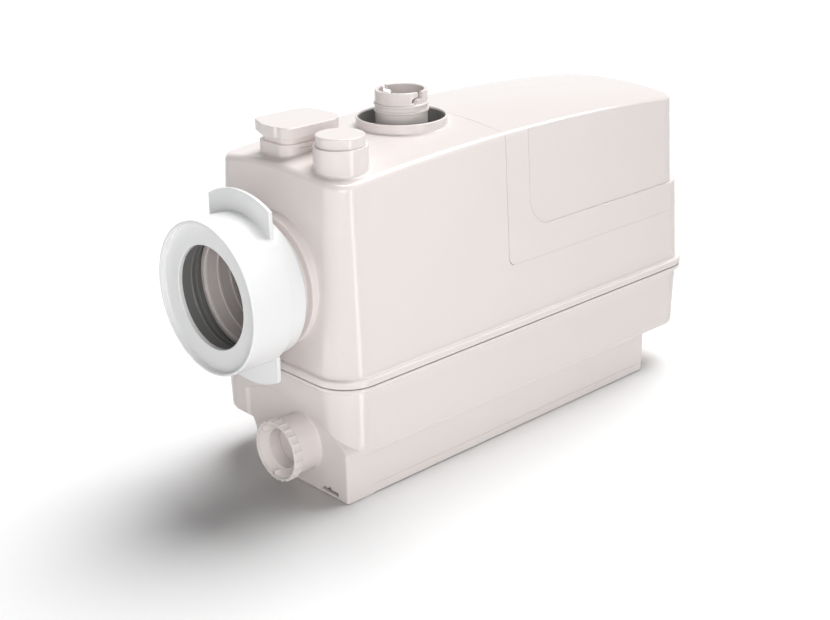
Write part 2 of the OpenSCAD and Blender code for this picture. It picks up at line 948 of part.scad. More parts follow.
module valve_housing() {
    color(dark_plastic)
        translate([out_x, 0, 0])
            difference() {
                union() {
                    translate([0, 0, valve_top - 4])
                        cylinder(r = chamber_r + 7, h = 4);
                    translate([0, 0, seat_z - 4])
                        cylinder(r = chamber_r + 3, h = valve_top - seat_z + 4);
                    translate([0, 0, seat_z - 20])
                        cylinder(r = riser_r, h = 20);
                }
                difference() {
                    translate([0, 0, seat_z])
                        cylinder(r = chamber_r, h = valve_top - 16 - seat_z);
                    // Ears for the flap's pin
                    for (s = [-1, 1])
                        translate([-flap_hinge, s * 12, seat_z])
                            rotate([90, 0, 0])
                                linear_extrude(4, center = true) {
                                    translate([0, 3.7])
                                        circle(3);
                                    translate([-3, -1])
                                        square([6, 4.7]);
                                }
                }
                translate([0, 0, valve_top - 17])
                    cylinder(r = out_bore - lead_in, h = 20);
                translate([0, 0, pipe_foot])
                    cylinder(r = out_r + seat_fit, h = 20);
                translate([0, 0, seat_z - 21])
                    cylinder(r = riser_r - 3, h = 30);
                translate([-flap_hinge, 0, seat_z + 3.7])
                    rotate([90, 0, 0])
                        cylinder(r = 1.5 + run_fit, h = 27.6, center = true, $fn = 32);
            }
}

module check_flap() {
    color(rubber_color)
        translate([out_x, 0, seat_z])
            difference() {
                union() {
                    translate([0, 0, seat_fit])
                        cylinder(r = riser_r, h = 2.6);
                    translate([0, 0, seat_fit + 2])
                        cylinder(r = 9, h = 2.5);
                    translate([-flap_hinge, 0, 3.7])
                        rotate([90, 0, 0])
                            linear_extrude(18, center = true) {
                                circle(3);
                                translate([0, -2.2])
                                    square([10, 3]);
                            }
                }
                translate([-flap_hinge, 0, 3.7])
                    rotate([90, 0, 0])
                        cylinder(r = 1.5 + run_fit, h = 40, center = true, $fn = 32);
            }
}

module check_flap_pin() {
    color(steel_color)
        translate([out_x - flap_hinge, 0, seat_z + 3.7])
            rotate([90, 0, 0])
                cylinder(r = 1.5, h = 27, center = true, $fn = 32);
}

// Turns a shape that runs along +X from the riser's axis towards the pump's outlet
module on_outlet_line() {
    translate([out_x, 0, pump_z])
        rotate([0, 0, -outlet_angle])
            children();
}

module riser_shape(r, over) {
    translate([out_x, 0, pump_z + bend_r - 1])
        cylinder(r = r, h = seat_z - 20 - pump_z - bend_r + over);
    on_outlet_line() {
        translate([bend_r - 1, 0, 0])
            rotate([0, 90, 0])
                cylinder(r = r, h = riser_run - bend_r + 1 + over);
        // The elbow is moulded a shoulder thinner than the two straights
        translate([bend_r, 0, bend_r])
            rotate([90, 0, 0])
                rotate([0, 0, 180])
                    rotate_extrude(angle = 90)
                        translate([bend_r, 0])
                            circle(r - bend_step);
    }
}

module riser_pipe() {
    color(dark_plastic)
        difference() {
            riser_shape(riser_r, 0);
            riser_shape(riser_r - 3, 1);
        }
}

module riser_sleeve() {
    color(rubber_color)
        translate([out_x, 0, seat_z - 20 - joint_h / 2])
            difference() {
                union() {
                    cylinder(r = riser_r + 3.5, h = joint_h);
                    for (z = [2, joint_h - 7])
                        translate([0, 0, z])
                            cylinder(r = riser_r + 4.6, h = 5);
                }
                translate([0, 0, -1])
                    cylinder(r = riser_r + seat_fit, h = joint_h + 2);
            }
}

// Spiral of the volute: the radius grows evenly round the pump, against its turning sense
function volute_r(a) = volute_r0 + (volute_r1 - volute_r0) * a / 360;

module volute_area(grow) {
    polygon([for (a = [0 : 5 : 355])
        [(volute_r(a) + grow) * cos(outlet_back - a), (volute_r(a) + grow) * sin(outlet_back - a)]]);
}

// Puts a shape at each screw ear, which follows the spiral
module at_ears(z) {
    for (a = [40 : 90 : 310])
        translate([motor_x, 0, z])
            rotate([0, 0, outlet_back - a])
                translate([volute_r(a) + wall + 2, 0, 0])
                    children();
}

module pump_housing() {
    color(cast_color)
        difference() {
            union() {
                translate([motor_x, 0, pump_low])
                    linear_extrude(pump_high - pump_low)
                        volute_area(wall);
                on_outlet_line() {
                    translate([riser_run, 0, 0])
                        rotate([0, 90, 0])
                            cylinder(r = riser_r, h = outlet_run - riser_run);
                    translate([riser_run - 14, 0, 0])
                        rotate([0, 90, 0])
                            cylinder(r = riser_r + 3.5, h = 18);
                }
                translate([motor_x, 0, pump_high - 1])
                    cylinder(r = seal_r + 3, h = 13);
                at_ears(pump_low)
                    cylinder(r = 5, h = 10);
            }
            translate([motor_x, 0, pump_low - 1])
                linear_extrude(pump_high - pump_low - wall + 1)
                    volute_area(0);
            on_outlet_line() {
                rotate([0, 90, 0])
                    cylinder(r = riser_r - 3, h = outlet_run);
                rotate([0, 90, 0])
                    cylinder(r = riser_r + seat_fit, h = riser_run + eps);
            }
            translate([motor_x, 0, pump_high])
                cylinder(r = seal_r + seat_fit, h = 30);
            translate([motor_x, 0, pump_high - 10])
                cylinder(r = shaft_r + 1, h = 30);
            suction_screw_holes(pump_low - 1, pump_low + 8);
            column_screw_holes(pump_high - wall - 1, pump_high + 1);
        }
}

module suction_screw_holes(z0, z1) {
    at_ears(z0)
        cylinder(r = 2 + run_fit, h = z1 - z0, $fn = 32);
}

module suction_plate() {
    color(cast_color)
        difference() {
            union() {
                translate([motor_x, 0, pump_low - 4])
                    linear_extrude(4)
                        volute_area(wall);
                at_ears(pump_low - 4)
                    cylinder(r = 5, h = 4);
            }
            translate([motor_x, 0, pump_low - 10])
                cylinder(r = knife_r + 5 + seat_fit, h = 20);
            suction_screw_holes(pump_low - 10, pump_low + 1);
        }
}

module suction_screws() {
    color(steel_color)
        at_ears(pump_low - 4)
            screw(2, 11, 3.8, 2.6);
}

// Fixed cutter ring: its notches shear what the blades sweep past
module cutter_ring() {
    color(steel_color)
        difference() {
            translate([motor_x, 0, pump_low - 4])
                union() {
                    cylinder(r = knife_r + 5, h = 4);
                    translate([0, 0, 4])
                        cylinder(r = knife_r + 7, h = 1.5);
                }
            translate([motor_x, 0, pump_low - 10])
                cylinder(r = knife_r + 0.6, h = 20);
            for (i = [0 : notch_n - 1])
                translate([motor_x, 0, pump_low - 10])
                    rotate([0, 0, i * 360 / notch_n])
                        translate([knife_r + 0.6, 0, 0])
                            cylinder(r = 2, h = 20, $fn = 32);
        }
}

// Curved blade drawn in plan: a crescent between two arcs
module blade_area(reach, r) {
    intersection() {
        difference() {
            translate([reach / 2, -r * 0.55])
                circle(r);
            translate([reach / 2 + 1, -r * 0.55 - 4.5])
                circle(r * 0.97);
        }
        circle(reach);
        translate([0, -reach])
            square([reach, 2 * reach]);
    }
}

module cutter_knife() {
    color(steel_color)
        translate([motor_x, 0, pump_low - 5])
            difference() {
                union() {
                    cylinder(r = 9, h = impeller_z - pump_low + 5);
                    intersection() {
                        for (a = [0, 120, 240])
                            rotate([0, 0, a])
                                linear_extrude(4.5)
                                    blade_area(knife_r, 16);
                        cylinder(r = knife_r, h = 6);
                    }
                }
                translate([0, 0, -1])
                    cylinder(r = tail_r + run_fit, h = impeller_z - pump_low + 7);
            }
}

// Open vortex impeller: a back plate with swept vanes below it
module impeller() {
    vane_h = impeller_h - 4;
    color(cast_color)
        translate([motor_x, 0, impeller_z])
            difference() {
                union() {
                    translate([0, 0, vane_h])
                        cylinder(r = impeller_r, h = 4);
                    cylinder(r = 10, h = impeller_h);
                    for (i = [0 : vane_n - 1])
                        rotate([0, 0, i * 360 / vane_n])
                            linear_extrude(vane_h + 1)
                                polygon(concat(
                                    [for (s = [0 : 0.125 : 1]) vane_point(s, 0)],
                                    [for (s = [1 : -0.125 : 0]) vane_point(s, 3)]
                                ));
                }
                translate([0, 0, -1])
                    cylinder(r = tail_r + run_fit, h = impeller_h + 2);
            }
}

// Point on a vane: it leaves the hub straight and sweeps back by 50 degrees at the rim
function vane_point(s, off) =
    let (r = 8 + (impeller_r - 9) * s, a = 50 * s * s)
        [r * cos(a) - off * sin(a), r * sin(a) + off * cos(a)];

module motor_shaft() {
    color(steel_color)
        translate([motor_x, 0, 0]) {
            translate([0, 0, pump_low - 12])
                cylinder(r = tail_r, h = impeller_z + impeller_h - pump_low + 12 + eps);
            translate([0, 0, impeller_z + impeller_h])
                cylinder(r = shaft_r, h = shaft_top - impeller_z - impeller_h);
        }
}

module shaft_nut() {
    color(steel_color)
        translate([motor_x, 0, pump_low - 11])
            difference() {
                union() {
                    cylinder(r = 7.5, h = 5, $fn = 6);
                    translate([0, 0, 5])
                        cylinder(r = 8, h = 1);
                }
                translate([0, 0, -1])
                    cylinder(r = tail_r + run_fit, h = 10);
            }
}

module column_screw_holes(z0, z1) {
    for (a = [0 : 90 : 270])
        translate([motor_x, 0, z0])
            rotate([0, 0, a])
                translate([column_ring, 0, 0])
                    cylinder(r = 2 + run_fit, h = z1 - z0, $fn = 32);
}

module pump_column() {
    top = deck_z - wall;
    color(dark_plastic)
        difference() {
            translate([motor_x, 0, pump_high]) {
                cylinder(r = column_r, h = top - pump_high);
                cylinder(r = column_ring + 6, h = 4);
                translate([0, 0, top - pump_high - 4])
                    cylinder(r = column_ring + 6, h = 4);
                // Ribs between the two flanges
                for (a = [45 : 90 : 315])
                    rotate([0, 0, a])
                        translate([column_r - 1.5, -1.5, 2])
                            cube([column_ring + 5 - column_r, 3, top - pump_high - 4]);
            }
            translate([motor_x, 0, pump_high - 1])
                cylinder(r = column_r - 3, h = top - pump_high + 2);
            column_screw_holes(pump_high - 1, top + 1);
        }
}

module column_screws() {
    color(steel_color)
        for (a = [0 : 90 : 270])
            translate([motor_x, 0, 0])
                rotate([0, 0, a])
                    translate([column_ring, 0, 0]) {
                        translate([0, 0, deck_z - wall - 4])
                            screw(2, 6.5, 3.8, 2.6);
                        translate([0, 0, pump_high + 4])
                            mirror([0, 0, 1])
                                screw(2, 6.5, 3.8, 2.6);
                    }
}

module shaft_seal() {
    color(rubber_color)
        translate([motor_x, 0, pump_high])
            rotate_extrude()
                polygon([
                    [shaft_r + run_fit, 0], [seal_r, 0], [seal_r, 8], [shaft_r + 3, 8],
                    [shaft_r + 3, 5], [shaft_r + run_fit, 3.5]
                ]);
}

// Ball bearing: two grooved rings with a ring of balls, drawn as one group
module bearing(z) {
    mid = (bearing_r + shaft_r) / 2;
    translate([motor_x, 0, z]) {
        difference() {
            union() {
                tube(bearing_r, mid + 1.6, bearing_h);
                tube(mid - 1.6, shaft_r + run_fit, bearing_h);
            }
            translate([0, 0, bearing_h / 2])
                rotate_extrude()
                    translate([mid, 0])
                        circle(2.25, $fn = 32);
        }
        for (a = [0 : 45 : 315])
            rotate([0, 0, a])
                translate([mid, 0, bearing_h / 2])
                    sphere(2.2, $fn = 32);
    }
}

module lower_bearing() {
    color(steel_color)
        bearing(hub_top - bearing_h - 1);
}

module upper_bearing() {
    color(steel_color)
        bearing(shield_z + 1);
}

module rotor_core() {
    color(cast_color)
        translate([motor_x, 0, core_z - 1])
            tube(core_bore - 0.5, shaft_r + run_fit, core_h + 2);
}

module stator_core() {
    color(steel_color)
        translate([motor_x, 0, core_z])
            difference() {
                cylinder(r = can_r - 2.5 - seat_fit, h = core_h);
                translate([0, 0, -1])
                    cylinder(r = core_bore, h = core_h + 2);
                for (i = [0 : slot_n - 1])
                    rotate([0, 0, i * 360 / slot_n])
                        translate([core_bore + 2, -1.2, -1])
                            cube([12, 2.4, core_h + 2]);
            }
}

module windings() {
    color(copper_color) {
        for (z = [core_z - 7 - seat_fit, core_z + core_h + 7 + seat_fit])
            translate([motor_x, 0, z])
                rotate_extrude()
                    translate([core_bore + 9, 0]) {
                        square([12, 8], center = true);
                        square([8, 14], center = true);
                    }
        for (i = [0 : slot_n - 1])
            translate([motor_x, 0, core_z - 3])
                rotate([0, 0, i * 360 / slot_n])
                    translate([core_bore + 4.2, -1, 0])
                        cube([9.6, 2, core_h + 6]);
    }
}

module motor_can() {
    color(cast_color)
        translate([motor_x, 0, deck_z])
            difference() {
                union() {
                    cylinder(r = can_r, h = can_h);
                    cylinder(r = can_r + 6, h = 4);
                    // Cooling fins
                    for (i = [0 : 23])
                        rotate([0, 0, i * 15])
                            translate([can_r - 1, -0.8, 4])
                                cube([4, 1.6, can_h - 12]);
                }
                translate([0, 0, -1])
                    cylinder(r = can_r - 2.5, h = can_h + 2);
            }
}

module end_shield() {
    color(cast_color)
        translate([motor_x, 0, shield_z])
            difference() {
                union() {
                    cylinder(r = can_r, h = 4);
                    translate([0, 0, -4])
                        cylinder(r = can_r - 2.5 - seat_fit, h = 5);
                    cylinder(r = hub_r, h = bearing_h + 4);
                }
                translate([0, 0, -5])
                    cylinder(r = bearing_r + seat_fit, h = bearing_h + 6);
                translate([0, 0, -5])
                    tube(can_r - 8, hub_r, 6);
            }
}

module capacitor() {
    color(dark_plastic)
        translate([cap_x, cap_y, deck_z]) {
            cylinder(r = cap_r, h = cap_h);
            for (x = [-5, 5])
                translate([x - 1.5, -3, cap_h - 1])
                    cube([3, 6, 9]);
        }
}

module capacitor_strap() {
    color(steel_color)
        translate([cap_x, cap_y, deck_z])
            difference() {
                union() {
                    translate([0, 0, 22])
                        cylinder(r = cap_r + 1.6, h = 12);
                    translate([cap_r - 1, -8, 0])
                        cube([4, 16, 34]);
                    translate([cap_r - 1, -8, 0])
                        cube([12, 16, 2]);
                }
                translate([0, 0, -1])
                    cylinder(r = cap_r + seat_fit, h = cap_h + 10);
            }
}

module control_box() {
    color(dark_plastic)
        translate([box_x, 0, deck_z])
            difference() {
                translate([-box_l / 2, -box_w / 2, 0])
                    cube([box_l, box_w, box_h]);
                translate([2 - box_l / 2, 2 - box_w / 2, 2])
                    cube([box_l - 4, box_w - 4, box_h]);
                translate([bell_x - box_x, bell_y, -1])
                    cylinder(r = nipple_r + 1.5, h = 10);
            }
}

module control_lid() {
    color(dark_plastic)
        translate([box_x, 0, deck_z + box_h])
            union() {
                translate([-box_l / 2, -box_w / 2, 0])
                    cube([box_l, box_w, 2]);
                difference() {
                    translate([2.3 - box_l / 2, 2.3 - box_w / 2, -4])
                        cube([box_l - 4.6, box_w - 4.6, 5]);
                    translate([4 - box_l / 2, 4 - box_w / 2, -5])
                        cube([box_l - 8, box_w - 8, 5]);
                }
            }
}

module circuit_board() {
    board_x = box_x + box_l / 2 - 8;
    color([0.1, 0.4, 0.2])
        translate([board_x, -box_w / 2 + 2.2, deck_z + 2]) {
            cube([1.6, box_w - 4.4, box_h - 12]);
            for (i = [0 : 2])
                translate([-10, 12 + i * 32, 14 + i * 4])
                    cube([10.1, 18, 20]);
            translate([-20, 62, 40])
                cube([20.1, 12, 14]);
        }
}

module pressure_switch() {
    color([0.85, 0.85, 0.82])
        translate([bell_x, bell_y, 0])
            difference() {
                union() {
                    translate([0, 0, switch_z])
                        cylinder(r = 13, h = 12);
                    translate([0, 0, switch_z - 8])
                        cylinder(r = nipple_r - 0.6, h = 9);
                    translate([0, 0, switch_z + 11])
                        cylinder(r = 6, h = 7);
                    // Feet down to the box's floor
                    for (s = [-1, 1])
                        translate([s * 10.5 - 1.5, -5, deck_z + 2])
                            cube([3, 10, switch_z - deck_z - 1]);
                }
                translate([0, 0, switch_z - 9])
                    cylinder(r = 1.2, h = 8, $fn = 32);
                translate([0, 0, switch_z + 6])
                    cylinder(r = 2.5 + run_fit, h = 20, $fn = 48);
            }
}

module switch_plunger() {
    color([0.8, 0.2, 0.15])
        translate([bell_x, bell_y, switch_z + 6 + seat_fit])
            cylinder(r = 2.5, h = 15, $fn = 48);
}

module air_bell() {
    top = deck_z - wall;
    color(dark_plastic)
        translate([bell_x, bell_y, 0])
            difference() {
                union() {
                    translate([0, 0, pump_low])
                        cylinder(r = bell_r, h = top - pump_low);
                    translate([0, 0, top - 4])
                        cylinder(r = bell_r + 4, h = 4);
                    translate([0, 0, top - 1])
                        cylinder(r = nipple_r, h = 13);
                }
                translate([0, 0, pump_low - 1])
                    cylinder(r = bell_r - 2, h = top - pump_low - 3);
                translate([0, 0, pump_low])
                    cylinder(r = 1.2, h = 200, $fn = 32);
            }
}

module pressure_hose() {
    color(rubber_color)
        translate([bell_x, bell_y, deck_z + 2.3])
            difference() {
                cylinder(r = nipple_r + 1.2, h = switch_z - deck_z - 2.6);
                translate([0, 0, -1])
                    cylinder(r = nipple_r + run_fit, h = 8 + 1);
                translate([0, 0, -1])
                    cylinder(r = nipple_r - 0.6 + run_fit, h = 40);
            }
}

module cable_gland() {
    color(dark_plastic)
        translate([gland_x, gland_out, gland_z])
            rotate([-90, 0, 0])
                difference() {
                    union() {
                        cylinder(r = 12, h = 5, $fn = 6);
                        translate([0, 0, 5])
                            cylinder(r1 = 10, r2 = 7.5, h = 7);
                        translate([0, 0, gland_in - gland_out - 7])
                            cylinder(r = gland_r, h = gland_out - gland_in + 8);
                    }
                    translate([0, 0, -40])
                        cylinder(r = cable_bore, h = 80);
                }
}

module gland_nut() {
    nut_h = 4.5;
    color(dark_plastic)
        translate([gland_x, gland_in - nut_h, gland_z])
            rotate([-90, 0, 0])
                difference() {
                    cylinder(r = 11.5, h = nut_h, $fn = 6);
                    translate([0, 0, -1])
                        cylinder(r = gland_r + run_fit, h = nut_h + 2);
                }
}

lower_tank();
tank_gasket();
tank_screws();
rubber_feet();
upper_housing();
motor_cover();
wc_sleeve();
wc_seal();
shower_valve_ring();
shower_flap();
shower_flap_pin();
port_cap();
port_seal();
vent_lid();
carbon_filter();
discharge_pipe();
discharge_seal();
valve_housing();
check_flap();
check_flap_pin();
riser_pipe();
riser_sleeve();
pump_housing();
suction_plate();
suction_screws();
cutter_ring();
cutter_knife();
impeller();
motor_shaft();
shaft_nut();
pump_column();
column_screws();
shaft_seal();
lower_bearing();
upper_bearing();
rotor_core();
stator_core();
windings();
motor_can();
end_shield();
capacitor();
capacitor_strap();
control_box();
control_lid();
circuit_board();
pressure_switch();
switch_plunger();
air_bell();
pressure_hose();
cable_gland();
gland_nut();
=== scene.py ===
# %% [markdown]
# # A compact sewage lifting station
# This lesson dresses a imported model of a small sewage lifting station, which pumps away what a
# toilet and a shower send it. Its mouldings are a glossy, very pale plastic, so nearly all of its
# looks come from exact curved surfaces: a crowned roof, drafted walls, rounded lips and soft
# fillets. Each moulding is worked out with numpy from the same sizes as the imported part, in
# millimetres, and then cut and joined as the real tool would shape it.

import json
import math

import bmesh
import bpy
import numpy as np
from mathutils import Matrix


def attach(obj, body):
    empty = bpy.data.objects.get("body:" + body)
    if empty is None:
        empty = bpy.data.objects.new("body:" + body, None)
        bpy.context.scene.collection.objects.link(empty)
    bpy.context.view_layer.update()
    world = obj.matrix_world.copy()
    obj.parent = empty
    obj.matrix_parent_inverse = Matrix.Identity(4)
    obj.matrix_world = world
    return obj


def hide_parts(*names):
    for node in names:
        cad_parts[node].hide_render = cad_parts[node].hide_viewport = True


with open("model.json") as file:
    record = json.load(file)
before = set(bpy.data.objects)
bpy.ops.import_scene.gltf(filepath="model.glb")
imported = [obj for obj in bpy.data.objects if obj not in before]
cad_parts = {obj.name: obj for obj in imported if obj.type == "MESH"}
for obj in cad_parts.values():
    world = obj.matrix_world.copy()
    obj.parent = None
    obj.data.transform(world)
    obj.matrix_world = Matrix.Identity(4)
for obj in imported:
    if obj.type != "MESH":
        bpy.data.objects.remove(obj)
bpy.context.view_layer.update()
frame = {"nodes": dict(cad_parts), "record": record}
nodes = frame["nodes"]
scene = bpy.context.scene
print("nodes in the packed model:", len(nodes))

# %% [markdown]
# ## Sizes
# A designer writes each size once. These are the sizes of the real mouldings in millimetres, with
# the origin on the floor under the middle of the tank, X along the tank and away from the toilet
# inlet, and the long side that people see facing -Y.

# %% Sizes in millimetres
MM = 0.001
TANK_L, TANK_W, TANK_R = 457.0, 177.0, 29.0
SEAM_UP, SEAM_LOW = 104.0, 103.0
WALL, LIP, LIP_UP, LIP_DOWN = 3.0, 4.5, 6.0, 4.0
CREST_X, CREST_Z, CROWN_R, ARCH_R = 5.0, 287.0, 427.0, 2420.0
DRAFT = 10.0 / (CREST_Z - SEAM_UP)
BELLY_Z, BELLY_FLOOR = 39.0, 42.0
LEFT_X, FRONT_Y = -225.5, -85.5
FOOT_L, FOOT_W = 394.0, 120.0
FOOT_X, FOOT_Y = LEFT_X + FOOT_L / 2, FRONT_Y + FOOT_W / 2
SPLIT_X, SPLIT_Z, PANEL_X, PANEL_Z = -31.0, 161.0, -2.0, 189.0
PANEL_SIDE, PANEL_END, PANEL_R = 1.2, 6.0, 27.0
WC_Z, SHOWER_Z, SHOWER_Y = 180.0, 40.5, -28.3
OUT_X, PORT_X, PORT_Y, LID_X, LID_Y = -78.0, -189.0, -48.5, -179.0, 20.0
MOTOR_X, DECK_Z = 95.0, 128.0
RIM_H, BOSS_R, SPIGOT_R, POST_R, SCREW_R = 7.0, 57.5, 51.0, 6.5, 2.45
RECESS_R, RECESS_FLOOR, PIPE_R, PIPE_TOP, BAYONET_TURN = 38.0, 266.0, 22.9, 315.0, -88
PORT_R, PORT_TOP, LID_BOTTOM, STUB_R = 22.4, 295.4, 295.0, 25.0
SLEEVE_R, SLEEVE_IN, SLEEVE_X, EAR_REACH, EAR_HALF = 64.4, 51.3, 295.0, 82.8, 40.3
INLET, STUB, OUTLET = (0.0, 0.0, WC_Z), (0.0, SHOWER_Y, SHOWER_Z), (OUT_X, 0.0, 0.0)
PORT, MOTOR, GLAND = (PORT_X, PORT_Y, 0.0), (MOTOR_X, 0.0, 0.0), (160.0, 0.0, 142.0)
POSTS = [(x * 214.5, y * (77.0 if x == 0 else 74.5)) for x in (-1, 0, 1) for y in (-1, 1)]
FAR, HALF = 400.0, 200.0


def wall_y(z):
    """Half depth of the upper wall at height z: it leans in evenly from the seam to the roof."""
    return TANK_W / 2 - DRAFT * (z - SEAM_UP)


def roof_z(x, y):
    """Height of the crowned roof: two shallow parabolas fall away from the crest, one each way."""
    return CREST_Z - (x - CREST_X) ** 2 / (2 * ARCH_R) - y ** 2 / (2 * CROWN_R)


print("roof height over the left end:", round(float(roof_z(-220, 0)), 1), "mm")

# %% [markdown]
# ## Helpers for exact surfaces
# Every moulding here is a stack of closed loops. A loop can shrink, rise or follow the roof from
# row to row, so one helper that skins rows of points makes walls, fillets, lathed rings and slabs.
# Bevel modifiers could round the edges too, but they tear on meshes that were cut, so the
# roundings are put into the rows themselves.

# %% Skin rows of points
def solid(name, rows, ring=False):
    """Closed mesh through rows of points, given as an array (rows, points in a loop, 3) in mm.

    Quads join each row to the next. A ring joins its last row to its first, as round a tube;
    any other solid gets a flat face over its first and last loop.
    """
    rows = np.asarray(rows, float)
    m, n = rows.shape[:2]
    i = np.arange(m if ring else m - 1)[:, None]
    j = np.arange(n)[None, :]
    quads = np.stack([i * n + j, i * n + (j + 1) % n, (i + 1) % m * n + (j + 1) % n,
                      (i + 1) % m * n + j], -1).reshape(-1, 4)
    faces = quads.tolist()
    if not ring:
        ends = [(rows[0], 0), (rows[-1], (m - 1) * n)]
        faces += [list(range(start, start + n)) for loop, start in ends if loop_area(loop) > 1e-3]
    mesh = bpy.data.meshes.new(name)
    mesh.from_pydata((rows.reshape(-1, 3) * MM).tolist(), [], faces)
    work = bmesh.new()
    work.from_mesh(mesh)
    bmesh.ops.remove_doubles(work, verts=work.verts, dist=2e-7)
    bmesh.ops.recalc_face_normals(work, faces=work.faces)
    if work.calc_volume(signed=True) < 0:
        bmesh.ops.reverse_faces(work, faces=work.faces)
    work.to_mesh(mesh)
    work.free()
    piece = bpy.data.objects.new(name, mesh)
    scene.collection.objects.link(piece)
    return piece


def loop_area(loop):
    """Area inside a loop: half the length of the sum of the cross products of its neighbours."""
    arm = loop - loop.mean(0)
    return np.linalg.norm(np.cross(arm, np.roll(arm, -1, 0)).sum(0)) / 2


def soften(points, radii, steps=6, closed=True):
    """Profile with its corners rounded: each corner becomes an arc of its own radius.

    The arc touches both sides at radius / tan(half the corner's angle) from the corner, or as
    near as the shorter side allows. A corner of radius 0 stays sharp.
    """
    p = np.asarray(points, float)
    n = len(p)
    radii = [radii] * n if np.isscalar(radii) else radii
    out = []
    for k in range(n):
        here = p[k]
        if radii[k] <= 0 or (not closed and k in (0, n - 1)):
            out.append(here[None])
            continue
        a, b = p[k - 1] - here, p[(k + 1) % n] - here
        la, lb = np.linalg.norm(a), np.linalg.norm(b)
        a, b = a / la, b / lb
        half = math.acos(np.clip(a @ b, -1, 1)) / 2
        reach = min(radii[k] / math.tan(half), 0.49 * la, 0.49 * lb)
        r = reach * math.tan(half)
        centre = here + (a + b) / np.linalg.norm(a + b) * r / math.sin(half)
        start, end = here + a * reach - centre, here + b * reach - centre
        turn = math.atan2(start[0] * end[1] - start[1] * end[0], start @ end)
        t = np.linspace(0, turn, steps + 1)[:, None]
        side = np.array([-start[1], start[0]])
        out.append(centre + start * np.cos(t) + side * np.sin(t))
    return np.vstack(out)


def swell(outline, d):
    """Outline moved outwards by d: each point goes along the mean of its two sides' normals."""
    step = np.roll(outline, -1, 0) - np.roll(outline, 1, 0)
    normal = np.stack([step[:, 1], -step[:, 0]], 1)
    normal /= np.linalg.norm(normal, axis=1)[:, None]
    area = (outline[:, 0] * np.roll(outline[:, 1], -1) - outline[:, 1] * np.roll(outline[:, 0], -1)).sum()
    return outline + normal * d * np.sign(area)


AXES = {"x": np.eye(3)[[1, 2, 0]], "y": np.eye(3)[[0, 2, 1]], "z": np.eye(3)}


def slab(name, outline, levels, axes="z", place=(0, 0, 0)):
    """Slab from an outline: at each level (t, d) the outline stands at t and is swollen by d.

    The three rows of axes say where the outline's two directions and t point in space.
    """
    axes = AXES[axes] if isinstance(axes, str) else np.asarray(axes, float)
    rows = [np.column_stack([swell(outline, d), np.full(len(outline), t)]) @ axes for t, d in levels]
    return solid(name, np.array(rows) + np.asarray(place, float))


def circle(r, n=64, x=0.0, y=0.0):
    """Circle of radius r with n points round (x, y)."""
    t = np.arange(n) * 2 * np.pi / n
    return np.column_stack([x + r * np.cos(t), y + r * np.sin(t)])


def edged(t0, t1, r0=0.0, r1=0.0, steps=4):
    """Levels of a slab from t0 to t1 with quarter-round edges of radius r0 and r1."""
    a = np.linspace(0, np.pi / 2, steps + 1)
    low = [(t0 + r0 * (1 - math.sin(x)), -r0 * (1 - math.cos(x))) for x in a[::-1]] if r0 else [(t0, 0)]
    low = sorted(low)
    high = [(t1 - r1 * (1 - math.sin(x)), -r1 * (1 - math.cos(x))) for x in a] if r1 else [(t1, 0)]
    return low + sorted(high)


def lathe(name, profile, axes="z", place=(0, 0, 0), n=128, ripple=None, ring=True):
    """Turned solid: the profile (radius, height) is carried round the axis in n steps.

    A ripple is a function of the angle that is added to the radius wherever the profile's third
    column is 1. A profile that is a ring closes on itself, and any other starts and ends on the axis.
    """
    axes = AXES[axes] if isinstance(axes, str) else np.asarray(axes, float)
    p = np.asarray(profile, float)
    t = np.arange(n) * 2 * np.pi / n
    r = p[:, :1] + (p[:, 2:3] * ripple(t)[None] if ripple else 0 * t[None])
    rows = np.stack([r * np.cos(t), r * np.sin(t), np.repeat(p[:, 1:2], n, 1)], -1) @ axes
    return solid(name, rows + np.asarray(place, float), ring=ring)


def tube(name, ro, ri, t0, t1, axes="z", place=(0, 0, 0), edge=0.0, n=96):
    """Ring between two radii from t0 to t1, with edges of radius edge."""
    profile = soften([(ri, t0), (ro, t0), (ro, t1), (ri, t1)], edge, 3)
    return lathe(name, profile, axes, place, n)


def rod(name, r, t0, t1, axes="z", place=(0, 0, 0), n=64):
    """Plain round rod or drill of radius r from t0 to t1."""
    return slab(name, circle(r, n), [(t0, 0), (t1, 0)], axes, place)


MINUS_X = np.array([[0, 1, 0], [0, 0, 1], [-1, 0, 0]], float)
PLUS_X = -MINUS_X
print("helpers ready: solid, soften, swell, slab, lathe, tube, rod")

# %% [markdown]
# ## Joining and cutting
# A moulding's bosses, holes and hollows come from the tool's cores and cavities. Here they are
# solids that are joined to it or cut from it. The Boolean modifier with the manifold solver is
# quick and exact on closed meshes, and its result is read back once, so no modifier stays live.

# %% Join and cut solids
def group(name, solids):
    """Several solids that lie clear of each other, taken as one tool."""
    work = bmesh.new()
    for s in solids:
        work.from_mesh(s.data)
        bpy.data.objects.remove(s)
    mesh = bpy.data.meshes.new(name)
    work.to_mesh(mesh)
    work.free()
    piece = bpy.data.objects.new(name, mesh)
    scene.collection.objects.link(piece)
    return piece


def shape(piece, *steps):
    """Works through steps of ("+", solid), ("-", solid) or ("&", solid) and removes the tools."""
    kinds = {"+": "UNION", "-": "DIFFERENCE", "&": "INTERSECT"}
    for kind, tool in steps:
        cut = piece.modifiers.new("cut", "BOOLEAN")
        cut.operation, cut.object, cut.solver = kinds[kind], tool, "MANIFOLD"
    bpy.context.view_layer.update()
    result = bpy.data.meshes.new_from_object(
        piece.evaluated_get(bpy.context.evaluated_depsgraph_get()))
    piece.modifiers.clear()
    piece.data = result
    for _, tool in steps:
        bpy.data.objects.remove(tool)
    return piece


